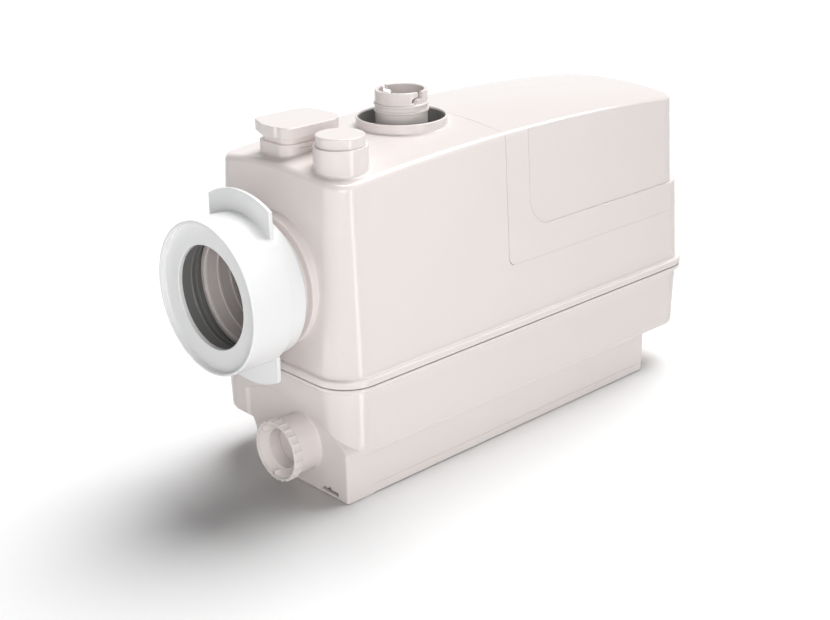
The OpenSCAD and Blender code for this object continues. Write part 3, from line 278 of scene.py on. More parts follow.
def complete(piece, finish, body, replaced=(), angle=32):
    """Gives a piece its finish, its smooth shading and its place in the model."""
    work = bmesh.new()
    work.from_mesh(piece.data)
    bmesh.ops.remove_doubles(work, verts=work.verts, dist=1e-6)
    bmesh.ops.dissolve_degenerate(work, edges=work.edges, dist=1e-6)
    work.to_mesh(piece.data)
    work.free()
    piece.data.shade_smooth()
    piece.data.set_sharp_from_angle(angle=math.radians(angle))
    even = piece.modifiers.new("even normals", "WEIGHTED_NORMAL")
    even.keep_sharp = True
    even.weight = 50
    piece.data.materials.clear()
    piece.data.materials.append(finish)
    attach(piece, body)
    if replaced:
        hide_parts(*replaced)
    print(piece.name, "has", len(piece.data.polygons), "faces")
    return piece


print("tools ready: group, shape, complete")

# %% [markdown]
# ## Finishes
# A moulding is never one flat colour. The pale body is polished like its tool, with a faint
# cloudiness in its colour and a gloss that varies a little, and has no bump, because any ripple
# would break up the long lines of light that show its shape. Castings are rough and grey, rubber
# is grey and dull, and turned steel has fine rings. All of these are built from one recipe on
# Object coordinates, so that nothing slides when a piece moves: two sizes of noise vary the colour
# and the roughness, and a third drives the bump.

# %% One recipe for every finish
def finish(name, dark, light, rough, metallic=0.0, coat=0.0, cloud=6.0, grain=900.0, bump=0.03,
           pattern=None, pattern_scale=100.0, pattern_mix=0.0, pattern_colour=None, sheen=0.0):
    """Principled finish whose colour runs from dark to light with noise.

    rough is the pair of roughness values that the fine noise runs between. A pattern ("bands",
    "rings" or "cells") mixes in a second colour and adds to the bump. A bump of 0 leaves it smooth.
    """
    mat = bpy.data.materials.new(name)
    mat.use_nodes = True
    tree = mat.node_tree
    add, link = tree.nodes.new, tree.links.new
    shader = tree.nodes["Principled BSDF"]
    shader.inputs["Metallic"].default_value = metallic
    shader.inputs["Coat Weight"].default_value = coat
    shader.inputs["Coat Roughness"].default_value = 0.06
    shader.inputs["Sheen Weight"].default_value = sheen
    place = add("ShaderNodeTexCoord")

    def noise(scale, detail):
        node = add("ShaderNodeTexNoise")
        node.inputs["Scale"].default_value = scale
        node.inputs["Detail"].default_value = detail
        link(place.outputs["Object"], node.inputs["Vector"])
        return node

    def spread(source, low, high):
        node = add("ShaderNodeMapRange")
        node.inputs["From Min"].default_value = 0.3
        node.inputs["From Max"].default_value = 0.7
        node.inputs["To Min"].default_value = low
        node.inputs["To Max"].default_value = high
        link(source, node.inputs["Value"])
        return node.outputs["Result"]

    clouds, fine, peel = noise(cloud, 4), noise(grain * 0.25, 3), noise(grain, 2)
    mix = add("ShaderNodeMix")
    mix.data_type = "RGBA"
    mix.inputs["A"].default_value = (*dark, 1)
    mix.inputs["B"].default_value = (*light, 1)
    link(spread(clouds.outputs["Fac"], 0, 1), mix.inputs["Factor"])
    colour, height = mix.outputs["Result"], peel.outputs["Fac"]
    if pattern:
        if pattern == "cells":
            node = add("ShaderNodeTexVoronoi")
            value = node.outputs["Distance"]
        else:
            node = add("ShaderNodeTexWave")
            node.wave_type = "BANDS" if pattern == "bands" else "RINGS"
            setattr(node, "bands_direction" if pattern == "bands" else "rings_direction", "Z")
            value = node.outputs["Fac"]
        node.inputs["Scale"].default_value = pattern_scale
        link(place.outputs["Object"], node.inputs["Vector"])
        second = add("ShaderNodeMix")
        second.data_type = "RGBA"
        second.inputs["B"].default_value = (*(pattern_colour or dark), 1)
        weight = add("ShaderNodeMath")
        weight.operation = "MULTIPLY"
        weight.inputs[1].default_value = pattern_mix
        link(value, weight.inputs[0])
        link(weight.outputs[0], second.inputs["Factor"])
        link(colour, second.inputs["A"])
        total = add("ShaderNodeMath")
        total.operation = "ADD"
        link(height, total.inputs[0])
        link(value, total.inputs[1])
        colour, height = second.outputs["Result"], total.outputs[0]
    link(colour, shader.inputs["Base Color"])
    link(spread(fine.outputs["Fac"], *rough), shader.inputs["Roughness"])
    if not bump:
        return mat
    relief = add("ShaderNodeBump")
    relief.inputs["Strength"].default_value = bump
    relief.inputs["Distance"].default_value = 0.0004
    link(height, relief.inputs["Height"])
    link(relief.outputs["Normal"], shader.inputs["Normal"])
    return mat


FINISH = {
    "body_plastic": finish("pale_moulded_plastic", (0.800, 0.738, 0.718), (0.816, 0.755, 0.735), (0.13, 0.15),
                           bump=0),
    "sleeve_plastic": finish("white_moulded_plastic", (0.840, 0.843, 0.845), (0.865, 0.868, 0.868), (0.30, 0.38),
                             coat=0.25, bump=0.02),
    "black_rubber": finish("grey_rubber", (0.165, 0.164, 0.160), (0.200, 0.198, 0.193), (0.42, 0.58),
                           bump=0.08, grain=500, sheen=0.10),
    "stainless_steel": finish("turned_steel", (0.50, 0.51, 0.52), (0.62, 0.63, 0.64), (0.22, 0.36), 1.0,
                              bump=0.05, pattern="rings", pattern_scale=700, pattern_mix=0.08),
    "dark_plastic": finish("dark_grained_plastic", (0.030, 0.032, 0.036), (0.045, 0.047, 0.052), (0.38, 0.52),
                           bump=0.12, grain=700),
    "pump_casting": finish("painted_pump_casting", (0.115, 0.120, 0.128), (0.160, 0.166, 0.175), (0.48, 0.66), 0.2,
                           bump=0.35, grain=420, pattern="cells", pattern_scale=260, pattern_mix=0.15),
    "motor_casting": finish("die_cast_aluminium", (0.33, 0.34, 0.35), (0.45, 0.46, 0.47), (0.36, 0.52), 0.85,
                            bump=0.22, grain=600, cloud=18),
    "core_steel": finish("stacked_steel_sheets", (0.20, 0.20, 0.21), (0.30, 0.30, 0.31), (0.34, 0.50), 0.9,
                         bump=0.25, pattern="bands", pattern_scale=320, pattern_mix=0.5,
                         pattern_colour=(0.08, 0.08, 0.085)),
    "bearing_steel": finish("ground_bearing_steel", (0.60, 0.61, 0.63), (0.70, 0.71, 0.73), (0.10, 0.18), 1.0,
                            bump=0.02),
    "copper": finish("enamelled_copper_wire", (0.42, 0.13, 0.045), (0.62, 0.24, 0.09), (0.24, 0.36), 0.8, coat=0.4,
                     bump=0.5, pattern="bands", pattern_scale=240, pattern_mix=0.45,
                     pattern_colour=(0.16, 0.045, 0.015)),
    "board_green": finish("lacquered_circuit_board", (0.012, 0.075, 0.030), (0.020, 0.110, 0.045), (0.22, 0.34),
                          coat=0.3, bump=0.15, pattern="cells", pattern_scale=170, pattern_mix=0.35,
                          pattern_colour=(0.035, 0.17, 0.06)),
    "switch_plastic": finish("ivory_plastic", (0.66, 0.64, 0.56), (0.74, 0.72, 0.64), (0.30, 0.42), bump=0.06),
    "button_red": finish("red_plastic", (0.42, 0.035, 0.025), (0.52, 0.055, 0.035), (0.30, 0.40), bump=0.06),
}
print("finishes:", len(FINISH))

# %% [markdown]
# ## The crowned housing form
# The upper half of the tank is one form: walls that lean in, a long roof edge with a small radius,
# a larger one over the motor end, and a roof crowned both ways. It is worked out exactly as rows
# round the tank. A fillet between a leaning wall and a sloping roof has its centre where the
# distance to both is the radius, and a few rounds of correction find that for all points at once.

# %% The track round the tank
def track(long_steps=64, short_steps=22, arc_steps=18):
    """Points round a rounded rectangle as (C, N): a point at offset q is C + q N.

    On a corner C stays at the arc's centre while N turns; on a side N stays and C moves.
    """
    cx, cy = TANK_L / 2 - TANK_R, TANK_W / 2 - TANK_R
    corners = [(cx, -cy, -90), (cx, cy, 0), (-cx, cy, 90), (-cx, -cy, 180)]
    centres, normals = [], []
    for k, (x, y, a) in enumerate(corners):
        t = np.radians(a + np.linspace(0, 90, arc_steps + 1))
        centres.append(np.tile([x, y], (len(t), 1)))
        normals.append(np.column_stack([np.cos(t), np.sin(t)]))
        x1, y1, _ = corners[(k + 1) % 4]
        steps = short_steps if k in (0, 2) else long_steps
        f = (np.arange(1, steps) / steps)[:, None]
        centres.append(np.array([[x, y]]) * (1 - f) + np.array([[x1, y1]]) * f)
        normals.append(np.tile(normals[-1][-1], (len(f), 1)))
    return np.vstack(centres), np.vstack(normals)


def housing_form(name, t=0.0):
    """Closed form of the upper half, moved in by t, from below the seam to the roof's middle line."""
    c, n = track()
    lean = math.atan(DRAFT)
    to_motor = np.clip((n[:, 0] - 0.15) / 0.85, 0, 1)
    r = np.maximum(6.0 + 8.0 * to_motor ** 2 * (3 - 2 * to_motor) - t, 2.0)
    zc = roof_z(c[:, 0] + TANK_R * n[:, 0], c[:, 1] + TANK_R * n[:, 1]) - t - r
    slope = np.zeros(len(c))
    for _ in range(12):
        qc = TANK_R - t - DRAFT * (zc - SEAM_UP) - r / math.cos(lean)
        p = c + (qc + r * np.sin(slope))[:, None] * n
        slope = np.arctan((p[:, 0] - CREST_X) / ARCH_R * n[:, 0] + p[:, 1] / CROWN_R * n[:, 1])
        zc = roof_z(p[:, 0], p[:, 1]) - t - r * np.cos(slope)
    low = SEAM_UP if t == 0 else SEAM_UP - 4
    z_top = zc + r * math.sin(lean)
    rows = []
    for f in np.linspace(0, 1, 16):
        z = low + (z_top - low) * f
        q = TANK_R - t - DRAFT * (z - SEAM_UP)
        rows.append(np.column_stack([c + q[:, None] * n, z]))
    for f in np.linspace(0, 1, 10)[1:]:
        a = lean + (np.pi / 2 - slope - lean) * f
        rows.append(np.column_stack([c + (qc + r * np.cos(a))[:, None] * n, zc + r * np.sin(a)]))
    edge = rows[-1][:, :2]
    spine = np.column_stack([np.clip(edge[:, 0], -140, 140), np.zeros(len(edge))])
    for f in np.linspace(1, 0, 15)[1:]:
        p = spine + (edge - spine) * f
        rows.append(np.column_stack([p, roof_z(p[:, 0], p[:, 1]) - t]))
    return solid(name, np.array(rows))


def around(name, profile):
    """Ring round the tank: the profile (q, z) is carried along the track, q outside the seam wall."""
    c, n = track()
    rows = [np.column_stack([c + (TANK_R + q) * n, np.full(len(c), z)]) for q, z in profile]
    return solid(name, np.array(rows), ring=True)


def corner_region(x, z, r, far=430.0, high=330.0):
    """Region right of x and above z with one rounded corner, as an outline in x and z."""
    return soften([(x, z), (far, z), (far, high), (x, high)], [r, 0, 0, 0], 12)


print("the roof falls", round(float(CREST_Z - roof_z(-222, -78)), 1), "mm to its front left corner")

# %% [markdown]
# ## The motor cover
# The motor cover is the roof and walls right of the split line. It carries a sunk panel whose
# ledge runs up the long sides and round the motor end. The panel is the same form, a little
# narrower and shorter, and what lies between the two is cut away. The cut's sides lean, which
# gives the soft ledge of the photograph in place of a knife-sharp step, and a fine crease at the
# ledge's foot draws the panel's outline.

# %% Cover with its sunk panel
def panel_block(name, t, lift=0.0):
    """Drafted block behind the sunk panel, moved in by t and lowered by lift."""
    side = PANEL_SIDE + t
    c, n = track(arc_steps=18)
    inset = np.abs(n) @ np.array([t, side])
    outer = c.copy()
    outer[:, 0] -= PANEL_END
    rows = []
    for z in (60.0, 330.0):
        q = TANK_R - inset - DRAFT * (z + lift - SEAM_UP)
        rows.append(np.column_stack([outer + q[:, None] * n, np.full(len(c), z)]))
    return solid(name, np.array(rows))


def panel_cut(name):
    """Wedge-sided cutter of the panel: its outline shrinks as it goes down to the panel's skin.

    Each level is (depth under the wall's surface, how far the outline has shrunk), from far outside.
    """
    outline = corner_region(PANEL_X, PANEL_Z, PANEL_R)
    depth = wall_y(outline[:, 1])
    lean = [(None, -0.45), (-0.06, -0.45), (0.12, -0.12), (0.4, 0.08), (0.8, 0.2), (1.2, 0.3), (1.8, 0.35)]
    levels = [(-1, *row) for row in lean] + [(1, *row) for row in lean[::-1]]
    rows = []
    for side, sink, shrink in levels:
        y = FAR if sink is None else depth - sink
        edge = swell(outline, -shrink)
        rows.append(np.column_stack([edge[:, 0], side * y * np.ones(len(edge)), edge[:, 1]]))
    return solid(name, np.array(rows))


def flat_region(name, outline):
    """Region drawn in x and z and carried across the whole depth."""
    return slab(name, outline, [(-300, 0), (300, 0)], "y")


def build_cover():
    """Outer form cut to the split and the panel, less the same form one wall further in."""
    outer = housing_form("motor_hood")
    sunk = shape(panel_cut("sunk"), ("-", panel_block("skin", 0.0)))
    foot = corner_region(PANEL_X + 0.85, PANEL_Z, PANEL_R)
    crease = shape(flat_region("crease", swell(foot, -0.35)), ("-", flat_region("crease_in", swell(foot, -1.0))),
                   ("-", panel_block("crease_floor", 0.45)))
    shape(outer, ("&", flat_region("split", corner_region(SPLIT_X + 0.5, SPLIT_Z + 0.15, 8.0))), ("-", sunk),
          ("-", crease))
    inner = housing_form("inner", WALL)
    thick = shape(flat_region("behind_panel", corner_region(PANEL_X - WALL, PANEL_Z - WALL, PANEL_R)),
                  ("-", panel_block("inner_skin", WALL, WALL)))
    shape(inner, ("-", thick))
    return shape(outer, ("-", inner))


complete(build_cover(), FINISH["body_plastic"], "cover", ["motor_cover"])

# %% [markdown]
# ## Fittings that grow out of the roof
# The spare inlet, the vent's neck and the recess wall rise from the crowned roof with a small
# concave flare. The roof falls by several millimetres under each of them, so the flare's rows
# follow the roof's own height and only the rows above it are level.

# %% Flared fitting on the roof
def roof_fitting(name, outline, flare, top, edge, low=-2.0):
    """Fitting with its outline on the roof: a concave quarter arc of radius flare, then a level top.

    Along the arc the offset is flare (1 - sin a) and the height over the roof is flare (1 - cos a).
    """
    rows = []
    for a in [None, *np.linspace(0, np.pi / 2, 7)]:
        d = flare * (1 - math.sin(a)) if a is not None else flare
        p = swell(outline, d)
        rise = flare * (1 - math.cos(a)) if a is not None else low
        rows.append(np.column_stack([p, roof_z(p[:, 0], p[:, 1]) + rise]))
    for t, d in edged(top - 2 * edge, top, 0, edge):
        p = swell(outline, d)
        rows.append(np.column_stack([p, np.full(len(p), t)]))
    return solid(name, np.array(rows))


def rounded(l, w, r, x=0.0, y=0.0, steps=10):
    """Rounded rectangle l by w with corners of radius r round (x, y)."""
    a, b = l / 2, w / 2
    return soften([(x - a, y - b), (x + a, y - b), (x + a, y + b), (x - a, y + b)], r, steps)


def box(name, x0, x1, y0, y1, z0, z1):
    """Plain box between two corners, used as a cutter or a rib."""
    return slab(name, np.array([(x0, y0), (x1, y0), (x1, y1), (x0, y1)], float), [(z0, 0), (z1, 0)])


# %% [markdown]
# ## The upper housing
# This moulding holds everything left of the split: walls, roof, flange lip, deck and bulkhead
# under the motor cover, the boss and spigot of the toilet inlet, and the roof's fittings. The
# order is that of the real tool: outer form, hollow, then what stands on it, then the bores.
# First come the walls and the two thin rims that hold the cover's edge.

# %% Walls, deck and rims
def housing_walls():
    """Outer form less its hollow, opened where the cover sits. A bulkhead and a deck stay inside."""
    shell = housing_form("upper_shell")
    hollow = shape(housing_form("hollow", WALL),
                   ("-", box("bulkhead", SPLIT_X - WALL, SPLIT_X, -HALF, HALF, DECK_Z - WALL, FAR)),
                   ("-", box("deck", SPLIT_X - WALL, FAR, -HALF, HALF, DECK_Z - WALL, DECK_Z)))
    opened = flat_region("opened", corner_region(SPLIT_X, SPLIT_Z, 7.5))
    return shape(shell, ("-", hollow), ("-", opened))


def cover_rims():
    """Two rims along the split: the form's skin between two depths, less what is far from the split."""
    rims, low, left = [], SPLIT_Z - RIM_H, SPLIT_X - 0.02
    for name, depth, reach in (("band", WALL - 0.05, (-1, 0)), ("rim", WALL + 0.3, (RIM_H, RIM_H))):
        below = np.array([(-FAR, 0), (FAR, 0), (FAR, low), (left, low), (left, FAR), (-FAR, FAR)])
        above = corner_region(SPLIT_X + reach[0], SPLIT_Z + reach[1], 0.01)
        rims.append(("+", shape(housing_form(name, depth), ("-", housing_form("rim_in", WALL + 2.3)),
                                ("-", flat_region("below", below)), ("-", flat_region("above", above)))))
    return rims


print("rims reach", RIM_H, "mm past the split")

# %% [markdown]
# What stands on the walls is joined next. The lip is carried round the tank as a profile, the
# inlet's boss and spigot are turned, and the roof's fittings start with their flare.

# %% Bosses and fittings
def inlet_collar(name, r, x0, x1, edge):
    """Turned disc of radius r from x0 to x1 round the toilet inlet, with its outer edge rounded."""
    return lathe(name, soften([(0, x0), (r, x0), (r, x1), (0, x1)], [0, edge, 0, 0], 5), PLUS_X, INLET, ring=False)


def housing_bosses():
    """Solids that are joined to the walls, in the order in which they are joined."""
    lip = [(-2.9, SEAM_UP), (LIP, SEAM_UP), (LIP, SEAM_UP + LIP_UP), (-0.34, SEAM_UP + LIP_UP), (-0.45, 113),
           (-2.9, 113)]
    solids = [
        around("lip", soften(lip, [0, 0.5, 1.7, 1.8, 0, 0], 6)),
        group("posts", [rod("post", POST_R, SEAM_UP, 134, place=(x, y, 0)) for x, y in POSTS]),
        inlet_collar("boss", BOSS_R, -231, -214, 0.9),
        inlet_collar("spigot", SPIGOT_R, -263, -212, 1.2),
        rod("well", RECESS_R + 2, RECESS_FLOOR - WALL, 284, place=OUTLET, n=128),
        roof_fitting("ring", circle(RECESS_R + 2, 128, OUT_X, 0), 1.6, 292, 0.9),
        roof_fitting("port", circle(PORT_R, 96, PORT_X, PORT_Y), 2.4, PORT_TOP, 0.5),
        roof_fitting("neck", rounded(55, 42, 11, LID_X, LID_Y), 2.0, 288, 0.6),
        slab("neck_top", rounded(50, 37, 9, LID_X, LID_Y), [(280, 0), (LID_BOTTOM, 0)]),
        slab("hub", circle(18, 96, MOTOR_X, 0), edged(DECK_Z - 1, DECK_Z + 10, 0, 1)),
        rod("pad", 12.5, wall_y(155) - 3.4, wall_y(129) + 0.5, "y", GLAND)]
    return [("+", s) for s in solids]


print("bosses stand on", len(POSTS), "screw posts and the roof")

# %% [markdown]
# The bores come last, as a core pin leaves them: the toilet inlet with its four sealing rings, the
# recess round the outlet pipe, the spare inlet, the vent, the motor's seat and the screw holes.

# %% Bores and the finished housing
def housing_bores():
    """Solids that are cut from the walls and bosses."""
    mouth = [(0, RECESS_FLOOR), (RECESS_R, RECESS_FLOOR), (RECESS_R, 291.2), (RECESS_R + 0.9, 293),
             (RECESS_R + 0.9, 330), (0, 330)]
    quarters = ((1, 0), (0, 1), (-1, 0), (0, -1))
    screws = [rod("hole", SCREW_R, 100, 130, place=(x, y, 0), n=32) for x, y in POSTS]
    column = [rod("hole", 2.05, 120, 130, place=(MOTOR_X + 27 * x, 27 * y, 0), n=32) for x, y in quarters]
    return [
        rod("toilet_bore", 47, -320, -190, "x", INLET),
        lathe("pipe_recess", soften(mouth, [0, 1, 1, 0, 0, 0], 4), place=OUTLET, ring=False),
        rod("pipe_hole", 23.2, 256, 276, place=OUTLET),
        rod("port_bore", 18.3, 262, 330, place=PORT),
        slab("filter_seat", rounded(44, 31, 6, LID_X, LID_Y), [(276, 0), (330, 0)]),
        slab("vent_bore", rounded(38, 25, 4, LID_X, LID_Y), [(262, 0), (300, 0)]),
        rod("bearing_seat", 14.1, 129, 160, place=MOTOR), rod("shaft_hole", 8, 110, 160, place=MOTOR),
        group("screw_holes", screws), group("column_holes", column),
        rod("hose_hole", 3.3, 110, 140, place=(0, -46, 0), n=48), rod("gland_hole", 8.3, 70, 100, "y", GLAND)]


def build_upper():
    """Walls, rims and bosses are joined, the bores are cut, and the sealing rings go into the bore."""
    shell = shape(housing_walls(), *cover_rims(), *housing_bosses())
    shape(shell, *[("-", b) for b in housing_bores()])
    for x in (-261.5, -249.0, -236.5, -224.0):
        shape(shell, ("+", tube("inlet_ring", 47.6, 45.7, x, x + 3.4, "x", INLET, 0.5, 128)))
    slot = soften([(-14, 0), (10, -1.6), (10, -0.4), (-14, 1.2)], 0.4, 3)
    for side in (-1, 1):
        axes = [[1, 0, 0], [0, 0, 1], [0, side, 0]]
        shape(shell, ("-", slab("neck_slot", slot, [(0, 0), (1.4, 0)], axes, (LID_X, LID_Y + side * 20.1, 284.5))))
    return shell


complete(build_upper(), FINISH["body_plastic"], "tank", ["upper_housing"])

# %% [markdown]
# ## The lower tank
# The lower moulding is a belly with a little draft that overhangs a deeper foot. Both are plain
# stacks of loops, one round the tank and one round a rounded rectangle.

# %% Belly and foot
def belly_form(name, t, floor, edge):
    """Belly from its floor to over the seam: leaning walls that end in a rounded lower edge."""
    c, n = track()
    top = SEAM_LOW + 1
    quarter = np.linspace(0, np.pi / 2, 7)
    rows = [(edge * (1 - math.sin(a)), floor + edge * (1 - math.cos(a))) for a in quarter]
    rows += [(0, z) for z in np.linspace(floor + edge, top, 8)[1:]]
    loops = []
    for d, z in rows:
        lean = 1.5 * (top - z) / (top - BELLY_Z)
        loops.append(np.column_stack([c + (TANK_R - t - lean - d) * n, np.full(len(c), z)]))
    return solid(name, np.array(loops))


def foot_form(name, levels, r=5.0, t=0.0):
    """Foot block with its outline set in by t."""
    return slab(name, rounded(FOOT_L - 2 * t, FOOT_W - 2 * t, max(r - t, 1), FOOT_X, FOOT_Y, 6), levels)


print("belly hangs", TANK_L / 2 + LEFT_X, "mm past the foot at the inlet")

# %% [markdown]
# An arched apron carries the shower stub on the end wall. Its edges are soft, so the cutter that
# makes room for it widens in a quarter round where it leaves the belly's wall.

# %% Apron and outside
def apron_outline(d=0.0, back=0.0):
    """Arched apron in y and z: a circle of radius 115 over an upright front and a back that curves in.

    d moves the whole outline outwards, and back moves its back side alone.
    """
    y0, y1, r, cy, cz = FRONT_Y - d, FRONT_Y + FOOT_W + 8 + d + back, 115 + d, -5.0, -37.5
    y = np.linspace(y1, y0, 49)
    arc = np.column_stack([y, cz + np.sqrt(r * r - (y - cy) ** 2)])
    a = np.linspace(np.pi / 2, 0, 9)
    side = np.column_stack([y1 - 8 * np.sin(a), 40 - 22 * (np.sin(a) ** 2 * 0.5 + 0.5 * a / (np.pi / 2))])
    return np.vstack([[(y0, -5)], [(y1 - 8, -5)], side, arc])


def tank_outside():
    """Belly less the room before the apron, with foot and apron joined."""
    shell = belly_form("lower_shell", 0, BELLY_Z, 3.0)
    cut = []
    for x, d, back in ((-260, 1.7, 7), (-228.6, 1.7, 7), (-227.7, 1.1, 4.6), (-226.7, 0.35, 2.2), (LEFT_X, 0.0, 0)):
        outline = apron_outline(d, back)
        cut.append(np.column_stack([outline, np.full(len(outline), x)]) @ AXES["x"])
    shape(shell, ("-", solid("apron_cut", np.array(cut))))
    foot = foot_form("foot", [(0.6, -0.8), (1.4, 0), (8.5, 0), (8.8, -0.55), (9.3, -0.55), (9.6, -0.1), (40, 0)])
    apron = slab("apron", apron_outline(-0.05), [(LEFT_X, -0.5), (-225.3, -0.15), (-225.0, 0), (-197, 0)], "x")
    left, front = LEFT_X - 0.3, FRONT_Y - 0.05
    plan = soften([(left, front), (-150, front), (-150, 60), (left, 60)], [3.5, 0, 0, 0], 8)
    shape(apron, ("&", slab("apron_plan", plan, [(0.6, 0), (120, 0)])))
    return shape(shell, ("+", foot), ("+", apron))


print("apron's arch tops out at", round(float(apron_outline()[:, 1].max()), 1), "mm")

# %% [markdown]
# The inside follows the outside one wall further in. The screw wells start as plain rods and keep
# only what lies inside the outer form, so that they grow out of the walls.

# %% Hollow, lip, stub and bores
def tank_hollow():
    """Belly and sump one wall further in, less the room that the apron's back takes."""
    return shape(belly_form("hollow", WALL, BELLY_FLOOR, 2.0),
                 ("+", foot_form("sump", [(12, 0), (43, 0)], 5, 4)),
                 ("-", slab("apron_back", apron_outline(3.0, 3.0), [(-260, 0), (-222.5, 0)], "x")))


def build_lower():
    """The outside is hollowed, gets its lip, wells and stub, and is then bored and notched."""
    shell = tank_outside()
    outer = shell.copy()
    outer.data = shell.data.copy()
    scene.collection.objects.link(outer)
    wells = group("wells", [rod("well", 9, 9.5, SEAM_LOW, place=(x, y, 0)) for x, y in POSTS])
    shape(wells, ("&", outer))
    trim = box("trim", -FAR, FAR, -FAR, FAR, SEAM_LOW, 200)
    lip = [(-2.9, SEAM_LOW), (-2.9, 94), (-0.25, 94), (-0.12, SEAM_LOW - LIP_DOWN), (LIP, SEAM_LOW - LIP_DOWN),
           (LIP, SEAM_LOW)]
    lip = around("lip", soften(lip, [0, 0, 0, 2.0, 1.5, 0.5], 6))
    stub = [(0, 246.5), (STUB_R, 246.5), (STUB_R, 225.5), (28, 225.5), (28, 222.5), (0, 222.5)]
    stub = lathe("stub", soften(stub, [0, 0.7, 2.2, 0, 0, 0], 6), MINUS_X, STUB, ring=False)
    skirt = foot_form("skirt", [(-1, 0), (9, 0)], 5, 3)
    shape(shell, ("-", tank_hollow()), ("-", skirt), ("-", trim), ("+", lip), ("+", wells), ("+", stub))
    holes = group("well_bores", [rod("bore", 5.5, -1, 98, place=(x, y, 0), n=48) for x, y in POSTS])
    screws = group("screw_bores", [rod("bore", SCREW_R, 90, 106, place=(x, y, 0), n=32) for x, y in POSTS])
    shape(shell, ("-", holes), ("-", screws), ("-", rod("stub_bore", 21, -256, -236.8, "x", STUB, 96)),
          ("-", rod("flap_room", 23, -237.6, -197.5, "x", STUB, 96)))
    notch = [(-11.5, 2.8), (11.5, 2.8), (11.5, 6.2), (2, 6.2), (2, 8.2), (-2, 8.2), (-2, 6.2), (-11.5, 6.2)]
    for x in (LEFT_X, LEFT_X + FOOT_L):
        cutter = slab("bracket_slot", soften(notch, 0.35, 3), [(x - 6, 0), (x + 6, 0)], "x", (0, FRONT_Y + 24, 0))
        shape(shell, ("-", cutter))
    return shell


complete(build_lower(), FINISH["body_plastic"], "tank", ["lower_tank"])

# %% [markdown]
# ## The inlet sleeve
# The white sleeve is a turned ring with a thin rim round a sunk face, and two pull ears. On the
# lathe profile every corner has its own small radius, because those radii carry the highlights.
# An ear is a flat tab between the sleeve and a circle of its own reach.

# %% Sleeve with two pull ears
def build_sleeve():
    """Turned ring from its profile (radius, distance from the tank's middle), joined with two flat ears."""
    profile = [(SLEEVE_IN, 237), (57.5, 237), (60.4, 240.5), (60.4, 255.5), (SLEEVE_R, 255.5), (SLEEVE_R, SLEEVE_X),
               (62.0, SLEEVE_X), (62.0, 290), (43.5, 290), (43.5, 286), (60.4, 286), (60.4, 257.5),
               (SLEEVE_IN, 257.5)]
    radii = [0.4, 1.2, 1.5, 0.8, 1.0, 1.0, 0.9, 0.8, 0.9, 0.5, 0, 0, 0.4]
    sleeve = lathe("inlet_sleeve", soften(profile, radii, 5), MINUS_X, INLET, 160)
    turn = math.asin(EAR_HALF / EAR_REACH)
    a = np.linspace(turn, -turn, 33)
    ears = []
    for up in (1, -1):
        arc = np.column_stack([EAR_REACH * np.sin(a), up * EAR_REACH * np.cos(a)])
        outline = np.vstack([[(-EAR_HALF, up * 50)], [(EAR_HALF, up * 50)], arc])
        radii = [0, 0, 4.5] + [0] * (len(a) - 2) + [4.5]
        ears.append(slab("ear", soften(outline, radii, 6), edged(-257.1, -253.5, 0.9, 0.9, 4), "x", INLET))
    ears = shape(group("ears", ears), ("-", rod("ear_bore", 63.2, -270, -240, "x", INLET, 160)))
    return shape(sleeve, ("+", ears))


complete(build_sleeve(), FINISH["sleeve_plastic"], "sleeve", ["wc_sleeve"])

# %% [markdown]
# ## The recess's painted shade
# In the photograph the recess round the outlet pipe is dark grey inside. A thin turned dark liner
# covers its floor and wall, a dark sheet that paints the recess's shade, so that the housing itself keeps one
# finish.

# %% Painted shade of the recess
def build_recess_shade():
    """Turned dark liner 0.5 mm thick that paints the recess's shade: a flat ring on its floor that turns up into a
    wall.
    """
    low, wall = RECESS_FLOOR + 0.15, RECESS_R - 0.15
    profile = [(24.4, low), (wall, low), (wall, 290.6), (wall - 0.5, 290.6), (wall - 0.5, 267.6), (36.4, low + 0.5),
               (24.4, low + 0.5)]
    return lathe("recess_painted_shade", soften(profile, [0.2, 0.3, 0.2, 0.2, 0.8, 0.8, 0.2], 3), place=OUTLET, n=128)


# The liner's dark finish is painted shade: it darkens the recess's floor and wall.
complete(build_recess_shade(), FINISH["black_rubber"], "tank", (), 50)

# %% [markdown]
# ## The valve ring
# The ring on the shower stub is lathed, with a cone that leads the hose's elbow in. Its grip is a
# ripple of the radius with the angle, which is smoother and lighter than a ring of separate
# ridges. Two ears hold the flap's pin, and three stops lock the elbow.

